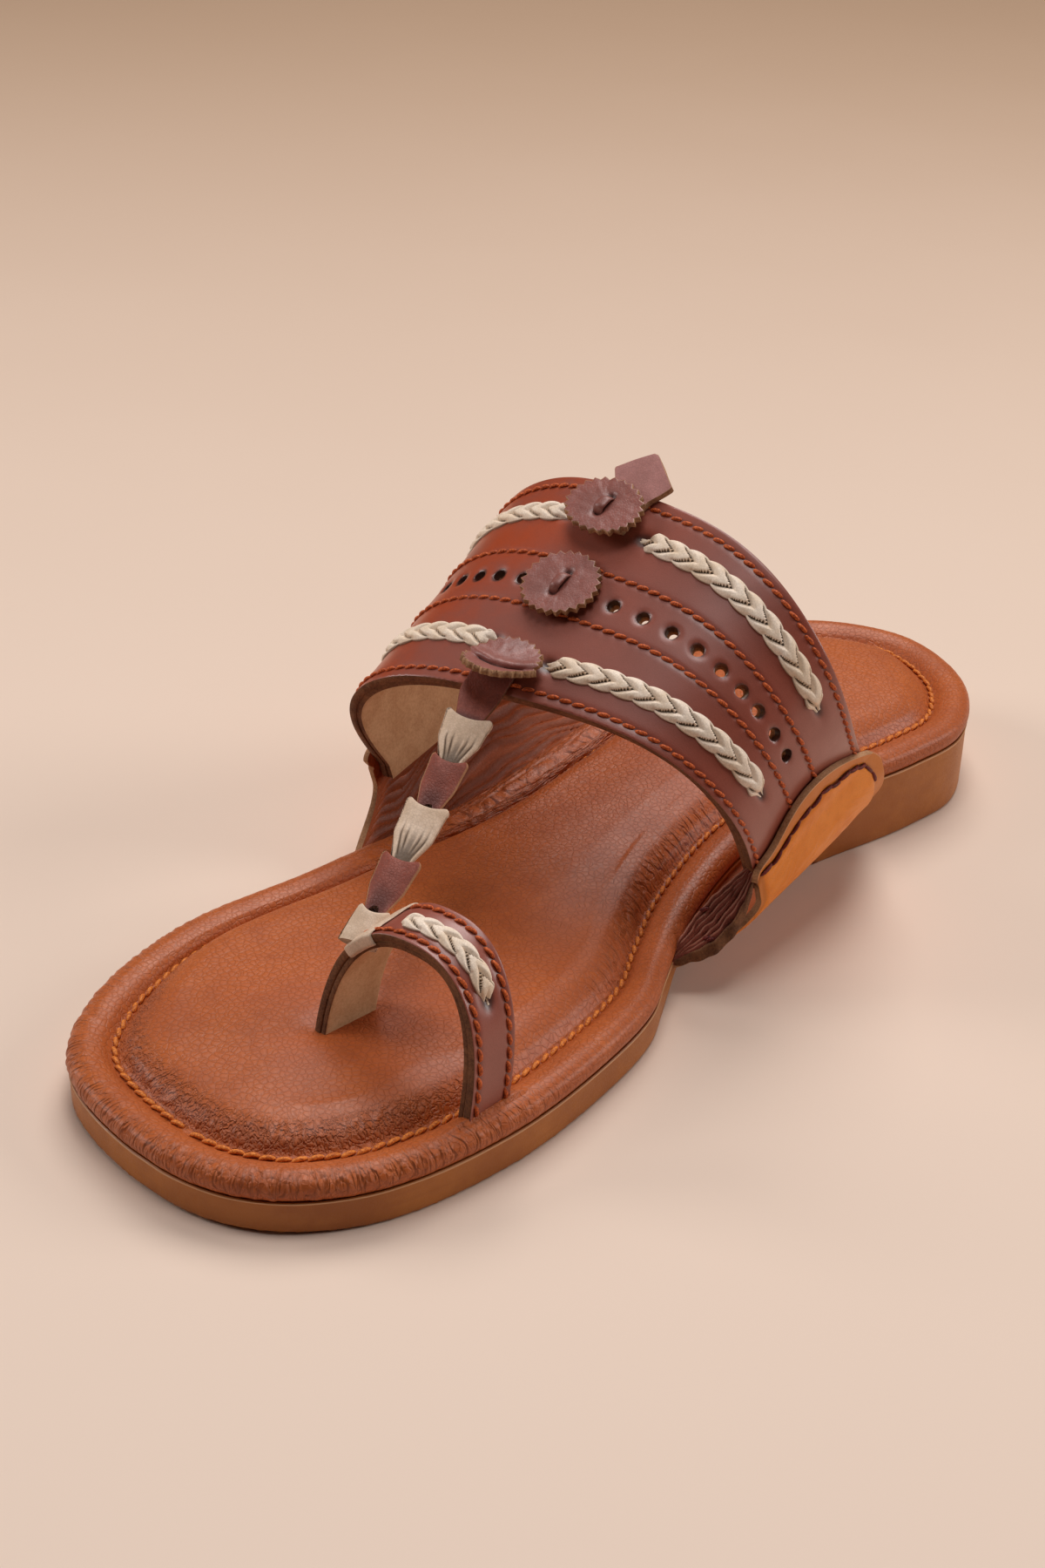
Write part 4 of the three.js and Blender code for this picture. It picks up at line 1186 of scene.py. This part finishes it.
frayed_edge = fibres("frayed_edge", (0.52, 0.29, 0.15), (0.20, 0.085, 0.045), fine=2600, depth=0.2)
for seed, (name, (s, lift, tilt, squash, bar)) in enumerate(ROSETTES.items()):
    bm = bmesh.new()
    lay(bm, 300, 20, rosette_place(s, lift, tilt, squash, bar, seed + 2))
    bmesh.ops.remove_doubles(bm, verts=bm.verts, dist=0.003 * mm)
    face_outwards(bm, (0, 150, 30))
    disc = make_piece(f"{name}_disc", bm, [trim_leather, frayed_edge], "trim_leather", [name], closed=False)
    settle(give_wall(disc, TRIM_WALL - 0.1, rim=1, back=1, bevel=0.25, even=bar))
    if not bar:
        continue

    def bar_place(a, b):
        turn = 2 * np.pi * b
        y = -3.5 + 6.6 * a
        x = 1.25 * np.sign(np.cos(turn)) * np.abs(np.cos(turn)) ** 0.5 * (0.9 + 0.1 * np.sin(np.pi * a))
        thick = 0.45 * np.sign(np.sin(turn)) * np.abs(np.sin(turn)) ** 0.5
        arched = 1.25 - 2.3 * np.abs(2 * a - 1) ** 4
        fold = 0.16 * np.cos(x * 3.0)
        height = TRIM_WALL + arched + thick + fold - 0.35
        return rosette_point(s, lift, tilt, squash, x + 0.12 * y, y, height), {
            "edge": np.abs(np.cos(turn)) ** 8 * 0.6, "crease": a * 0,
        }

    bm = bmesh.new()
    lay(bm, 26, 18, bar_place)
    bmesh.ops.remove_doubles(bm, verts=bm.verts, dist=0.003 * mm)
    bmesh.ops.holes_fill(bm, edges=bm.edges, sides=0)
    make_piece(f"{name}_bar", bm, [trim_leather], "trim_leather")

# ---- Strap tail ----
# The pointed leather end that sticks out behind the band from under the back rosette.
TAIL_HALF = 7.8
TAIL_PAST = 3.2
TAIL_POINT = 6.4


def tail_place(a, b):
    shoulder = 1 + TAIL_PAST / band.width
    end = shoulder + TAIL_POINT / band.width
    s = 0.80 + (end - 0.80) * b
    half = np.interp(s, [0.80, 0.96, shoulder, end], [3.0, 4.4, TAIL_HALF, 0.5])
    x = (a * 2 - 1) * half
    away = smooth(0.97, 1.2, s)
    height = GAP + TRIM_WALL - 0.1 + 0.7 * away + 0.12 * speckle(x, s * band.width, x * 0, 0.3)
    edge = np.maximum(smooth(0.93, 1.0, np.abs(a * 2 - 1)), smooth(0.985, 1.0, b)) * 0.8
    return band.at(0.525 + x / band.length, s, height), {"edge": edge, "crease": a * 0}


bm = bmesh.new()
lay(bm, 30, 34, tail_place)
face_outwards(bm, (0, 150, 30))
# The tail's leather is paler and more mauve than the trim leather: painted sheen.
TAIL_SHEEN_MAUVE = (0.46, 0.20, 0.18)
TAIL_SHADE = (0.36, 0.145, 0.125)
sheened_tail_leather = leather(
    "sheened_tail_leather", TAIL_SHEEN_MAUVE, TAIL_SHADE, pebble=1500, grain=0.07, rough=0.5, patch=90, shine=0.4,
    tinted_by=[("edge", 0.45, 0.95, TRIM_EDGE, 0.9)],
)
tail = make_piece(
    "strap_tail_tip", bm, [sheened_tail_leather, frayed_edge], "trim_leather", ["strap_tail"], closed=False
)
settle(give_wall(tail, TRIM_WALL - 0.1, rim=1, back=1, bevel=0.25))

# ---- Side flaps ----
# Two flaps of orange vegetable-tanned leather, lined with brown. Each leaves the seam between footbed and
# outsole, turns up round the edge and is sewn over the band's foot. A second, brighter layer lies on the
# lower part of each, and its edge is sewn down with dark red thread.
FLAP_WALL = 1.6
FLAP_RISE = 0.095
FLAP_TONGUE = 7.0
TONGUE_SHARE = 0.2
LAP_SHARE = 0.8
FOLD_PITCH = 2.7
FLAPS = {  # side, band foot, where it starts and ends along the sole, how far it bellies out
    "side_flap_inner": (1, 0, 126.6, 208, 12.5),
    "side_flap_outer": (-1, 1, 105.5, 205, 16),
}
FLAP_SEAM = [  # share of the flap from front to back, and millimetres below its top edge
    (0.04, 2.2), (0.14, 3.6), (0.26, 4.4), (0.38, 5.4), (0.5, 6.4), (0.58, 5.6), (0.66, 6.9), (0.74, 5.6),
    (0.82, 5.0), (0.88, 5.8), (0.915, 8.0), (0.925, 11.5),
]


def flap_inside(name):
    """The flap's inner face, over shares from front to back (u) and from the seam to its top edge (w)."""
    side, foot, front, back, belly = FLAPS[name]

    def place(u, w):
        root_y = front + (back - front) * u
        edge = edge_x(root_y, side)
        seam = seam_height(root_y) - 0.1
        arc = np.sin(np.pi * np.clip(u, 0, 1)) ** 0.8
        top_v = foot + side * (FLAP_RISE * arc - 0.02 + 0.034 * np.exp(-((u / 0.11) ** 2)))
        low_v = foot - side * (BAND_TUCK + 1.5) / band.length + u * 0
        s = -0.03 + 1.13 * u
        tongue = np.column_stack([edge - side * FLAP_TONGUE * (1 - w / TONGUE_SHARE), root_y, seam])
        lap = band.at(low_v + (top_v - low_v) * np.clip((w - LAP_SHARE) / (1 - LAP_SHARE), 0, 1.2), s, GAP)
        low = band.at(low_v, s, GAP)
        down = band.at(low_v - side * 0.02, s, GAP) - low
        down /= np.linalg.norm(down, axis=1, keepdims=True)
        start = np.column_stack([edge, root_y, seam])
        belly_out = np.column_stack(
            [edge + side * (2 + belly * arc), root_y + (low[:, 1] - root_y) * 0.15, seam - 0.6 * arc]
        )
        rising = low + down * np.maximum(2, (low[:, 2] - seam) * 0.4)[:, None]
        t = np.clip((w - TONGUE_SHARE) / (LAP_SHARE - TONGUE_SHARE), 0, 1)[:, None]
        turned = (
            start * (1 - t) ** 3 + belly_out * 3 * t * (1 - t) ** 2
            + rising * 3 * t * t * (1 - t) + low * t**3
        )
        w = w[:, None]
        return np.where(w < TONGUE_SHARE, tongue, np.where(w > LAP_SHARE, lap, turned))

    return place


def below_top(inside, count=70):
    """For shares along the flap, how many millimetres a place w lies below the top edge, and the reverse."""
    shares = np.linspace(0, 1, count)
    rows = []
    for u in shares:
        points = inside(np.full(count, u), shares)
        run = np.concatenate([[0], np.cumsum(np.linalg.norm(np.diff(points, axis=0), axis=1))])
        rows.append(run[-1] - run)
    table = np.array(rows)

    def depth(u, w):
        i = np.clip(u, 0, 0.9999) * (count - 1)
        j = np.clip(w, 0, 0.9999) * (count - 1)
        i0, j0 = i.astype(int), j.astype(int)
        fi, fj = i - i0, j - j0
        near = table[i0, j0] * (1 - fj) + table[i0, j0 + 1] * fj
        far = table[i0 + 1, j0] * (1 - fj) + table[i0 + 1, j0 + 1] * fj
        return near * (1 - fi) + far * fi

    def share_at(u, millimetres):
        row = table[int(round(np.clip(u, 0, 1) * (count - 1)))]
        return np.interp(millimetres, row[::-1], shares[::-1])

    return depth, share_at


def flap_outside(name, inside, depth, lift=FLAP_WALL, wrinkled=1.0):
    side = FLAPS[name][0]
    seam_u, seam_mm = np.array(FLAP_SEAM).T

    def place(a, b):
        w = 0.1 + 0.9 * b
        below = depth(a, w)
        line = np.interp(a, seam_u, seam_mm)
        panel = smooth(0.1, 1.1, below - line) * smooth(0.0, 0.03, 0.925 - a) * smooth(0.015, 0.06, a)
        groove = np.exp(-(((below - line) / 0.7) ** 2)) * smooth(0.0, 0.02, 0.93 - a)
        flat = inside(a, w)
        x, y, z = flat.T
        soft = 0.35 * speckle(x, y, z, 0.055)
        sway = 5.5 * speckle(a * 9, below * 0.16, x * 0 + 5, 1.0)
        folds = (
            (0.5 + 0.5 * np.sin(2 * np.pi * below / FOLD_PITCH + sway)) * smooth(1, 6, below)
            * smooth(0.0, 0.09, a) * smooth(0.0, 0.06, 1 - a)
        )
        height = lift + 0.5 * panel - 0.35 * groove + soft - 0.5 * wrinkled * folds
        points = along_normal(inside, a, np.minimum(w, 0.998), side * height)
        return points, {
            "panel": panel, "groove": groove, "border": np.exp(-((below / 0.45) ** 2)),
            "crease": folds * wrinkled,
        }

    return place


FLAP_ORANGE = (0.86, 0.250, 0.010)
FLAP_BRIGHT = (0.74, 0.190, 0.007)
FLAP_BORDER = (0.52, 0.150, 0.018)
FLAP_EDGE = (0.62, 0.36, 0.20)
FLAP_GROOVE_SHADE = (0.20, 0.05, 0.012)
# Painted shade darkens the groove along the second layer's edge; the paler panel and top edge are the leather's
# own.
flap_leather = leather(
    "flap_leather", FLAP_ORANGE, FLAP_BRIGHT, pebble=2300, grain=0.03, rough=0.47, patch=55, gloss=0.06,
    tinted_by=[
        ("panel", 0.9, 0.2, FLAP_BORDER, 0.75), ("groove", 0.3, 0.9, FLAP_GROOVE_SHADE, 0.6),
        ("border", 0.25, 0.9, FLAP_EDGE, 0.8),
    ],
)
FACING_BROWN = (0.46, 0.110, 0.034)
FACING_DARK = (0.36, 0.080, 0.022)
# Painted shade darkens the valleys of the lining's folds.
flap_facing = leather(
    "flap_facing", FACING_BROWN, FACING_DARK, pebble=1300, grain=0.09, rough=0.52, patch=60,
    tinted_by=[("crease", 0.3, 1.0, (0.15, 0.032, 0.010), 0.6)],
)
flap_edge = fibres("flap_edge", (0.50, 0.27, 0.14), (0.26, 0.11, 0.05), fine=2300)
THREAD_MAROON = (0.20, 0.020, 0.014)
THREAD_MAROON_DEEP = (0.07, 0.008, 0.006)
flap_thread = thread("flap_thread", THREAD_MAROON, THREAD_MAROON_DEEP)
for name, (side, foot, front, back, belly) in FLAPS.items():
    inside = flap_inside(name)
    depth, share_at = below_top(inside)
    bm = bmesh.new()
    lay(bm, 150, 90, flap_outside(name, inside, depth, wrinkled=0.15 if side > 0 else 1.0))
    face_outwards(bm, (0, 165, 40))
    flap = make_piece(
        f"{name}_leather", bm, [flap_leather, flap_edge, flap_facing], "flap_leather", [name], closed=False
    )
    settle(give_wall(flap, FLAP_WALL - 0.1, rim=1, back=2, bevel=0.35, even=False))
    us = np.linspace(0.03, 0.925, 260)
    line = np.interp(us, *np.array(FLAP_SEAM).T)
    ws = np.array([share_at(u, mm_below) for u, mm_below in zip(us, line)])
    on_flap = along_normal(inside, us, np.minimum(ws, 0.998), np.full_like(us, side * (FLAP_WALL + 0.2)))
    outwards = (on_flap - inside(us, ws)) * 1.0
    bm = bmesh.new()
    random.seed(9)
    sew(bm, stitch_shape(4.6, 1.0, 0.35), on_flap, outwards, 4.2, slant=4)
    make_piece(f"{name}_stitches", bm, [flap_thread], sharp=180)

# The stacked edges that come out from under the band's corner, in front of the inner flap: the band's own
# plies and the flap's lining, cemented together and trimmed by hand, with three ends of thread.
# how far each bows out from the sole, and up, in millimetres, its height, whether it is the raw side
PLIES = [
    (5.2, -1.6, 3.6, 1), (3.9, -1.2, 3.6, 0), (2.7, -0.8, 3.6, 0), (1.5, -0.2, 4.0, 0), (0.5, 0.4, 3.8, 0),
    (-0.5, 1.0, 3.4, 0), (-1.5, 1.5, 3.2, 0),
]
ply_start = np.array([edge_x(126.0, 1) - 1.0, 126.0, seam_height(126.0) + 0.4])
ply_end = band.at(0.012, 0.03, -1.2)[0]
plies = bmesh.new()
raw_plies = bmesh.new()
for order, (out, up, tall, raw) in enumerate(PLIES):

    def ply_place(a, b):
        turn = 2 * np.pi * b
        bow = np.sin(np.pi * np.clip(a, 0, 1)) ** 0.8
        line = ply_start * (1 - a[:, None]) + ply_end * a[:, None]
        waver = 0.7 * speckle(a * 30, a * 0 + order * 5, a * 0, 0.33)
        thick = 0.45 * np.sign(np.cos(turn)) * np.abs(np.cos(turn)) ** 0.5
        rise = tall * (0.35 + 0.65 * bow) * (0.5 * np.sign(np.sin(turn)) * np.abs(np.sin(turn)) ** 0.3 - 0.5)
        line[:, 0] += out * bow + waver + thick * 0.9 - rise * 0.15
        line[:, 1] -= thick * 0.5
        line[:, 2] += up * bow + rise + 0.3 * speckle(a * 30, a * 0 + order, a * 0 + 9, 0.4) + 0.6
        return line, {"crease": smooth(0.1, 0.9, -rise / tall), "edge": (np.sin(turn) > 0.9) * 0.6}

    lay(raw_plies if raw else plies, 60, 16, ply_place)
for name, bm, paint in (("band_plies", plies, chain_leather), ("band_plies_raw", raw_plies, raw_edge)):
    bmesh.ops.remove_doubles(bm, verts=bm.verts, dist=0.003 * mm)
    bmesh.ops.holes_fill(bm, edges=bm.edges, sides=0)
    make_piece(name, bm, [paint])
bm = bmesh.new()
random.seed(21)
for share, out, up in ((0.34, 3.6, -0.6), (0.36, 4.4, -1.1), (0.47, -0.6, 1.9)):
    spot = ply_start * (1 - share) + ply_end * share + np.array([out, 0, up])
    line = np.array([spot - (1.4, 0.8, 0.6), spot, spot + (1.3, -0.9, -0.5)])
    sew(bm, stitch_shape(2.6, 1.0, 0.1), line, np.tile((0.3, -0.3, 1.0), (3, 1)), 2.6, slant=20)
make_piece("thread_ends", bm, [flap_thread], sharp=180)

# ---- Stage ----
# A pale floor, painted darker away from the camera as painted shade; soft lights from the left, the right,
# behind, overhead and in front; and the camera.
FLOOR_PALE = (0.80, 0.635, 0.53)
FLOOR_FAR_SHADE = (0.46, 0.305, 0.205)
floor_paint, tree, shader = new_material("floor_paint")
place_on = add_node(tree, "TexCoord").outputs["Object"]
cloud = add_group(tree, mottle_group, {"Vector": place_on, "Patch": 1.5})
behind = add_node(
    tree, "VectorMath", {0: place_on, 1: (-0.655, 0.755, 0.0)}, operation="DOT_PRODUCT"
).outputs["Value"]
behind = calculate(tree, "MULTIPLY_ADD", cloud["Tone"], 0.04, behind)
tree.links.new(
    blend_colour(tree, fade(tree, behind, -0.2, 1.15), FLOOR_PALE, FLOOR_FAR_SHADE), shader.inputs["Base Color"]
)
shader.inputs["Roughness"].default_value = 0.9
shader.inputs["Specular IOR Level"].default_value = 0.15
bm = bmesh.new()
bmesh.ops.create_grid(bm, x_segments=4, y_segments=4, size=5.0)
floor_mesh = bpy.data.meshes.new("floor")
bm.to_mesh(floor_mesh)
bm.free()
floor_mesh.materials.append(floor_paint)
floor = bpy.data.objects.new("floor", floor_mesh)
bpy.context.scene.collection.objects.link(floor)

AZIMUTH, ELEVATION, ROLL = math.radians(40.94), math.radians(30.265), math.radians(1.682)
CAMERA_TARGET = Vector((-0.04627, 0.03480, 0.0))
CAMERA_DISTANCE = 0.615832
back = Vector((
    math.sin(AZIMUTH) * math.cos(ELEVATION), -math.cos(AZIMUTH) * math.cos(ELEVATION), math.sin(ELEVATION),
))
level = Vector((math.cos(AZIMUTH), math.sin(AZIMUTH), 0))
upward = back.cross(level)
right = math.cos(ROLL) * level + math.sin(ROLL) * upward
top = -math.sin(ROLL) * level + math.cos(ROLL) * upward
camera = bpy.data.objects.new("camera", bpy.data.cameras.new("camera"))
camera.data.lens = 54
camera.data.sensor_width = 36
camera.data.clip_start = 0.02
camera.data.clip_end = 30
camera.matrix_world = Matrix((right, top, back)).transposed().to_4x4()
camera.location = CAMERA_TARGET + back * CAMERA_DISTANCE
bpy.context.scene.collection.objects.link(camera)
bpy.context.scene.camera = camera

LIGHTS = [  # name, towards (right, away from the camera, up), distance, size, power, colour
    ("left", (-0.88, 0.16, 0.44), 1.9, 0.9, 11.8, (1.0, 0.975, 0.95)),
    ("right", (0.89, 0.10, 0.44), 1.9, 0.9, 12.4, (1.0, 0.975, 0.95)),
    ("behind", (0.08, 0.50, 0.86), 1.9, 1.2, 20.0, (1.0, 0.975, 0.95)),
    ("overhead", (0.0, -0.05, 1.0), 1.7, 0.7, 8.5, (1.0, 0.97, 0.96)),
    ("front", (0.41, -0.41, 0.82), 1.9, 1.0, 0.3, (1.0, 0.975, 0.95)),
]
away = Vector((-math.sin(AZIMUTH), math.cos(AZIMUTH), 0))
for name, (sideways, behind, high), distance, size, power, colour in LIGHTS:
    lamp = bpy.data.lights.new(name, "AREA")
    lamp.shape = "DISK"
    lamp.size = size
    lamp.energy = power
    lamp.color = colour
    light = bpy.data.objects.new(name, lamp)
    direction = (level * sideways + away * behind + Vector((0, 0, high))).normalized()
    light.location = direction * distance
    light.rotation_mode = "QUATERNION"
    light.rotation_quaternion = direction.to_track_quat("Z", "Y")
    bpy.context.scene.collection.objects.link(light)
world = bpy.data.worlds.new("studio")
world.use_nodes = True
world.node_tree.nodes["Background"].inputs["Color"].default_value = (1.0, 0.93, 0.87, 1)
world.node_tree.nodes["Background"].inputs["Strength"].default_value = 0.02
bpy.context.scene.world = world
bpy.context.scene.view_settings.view_transform = "Standard"
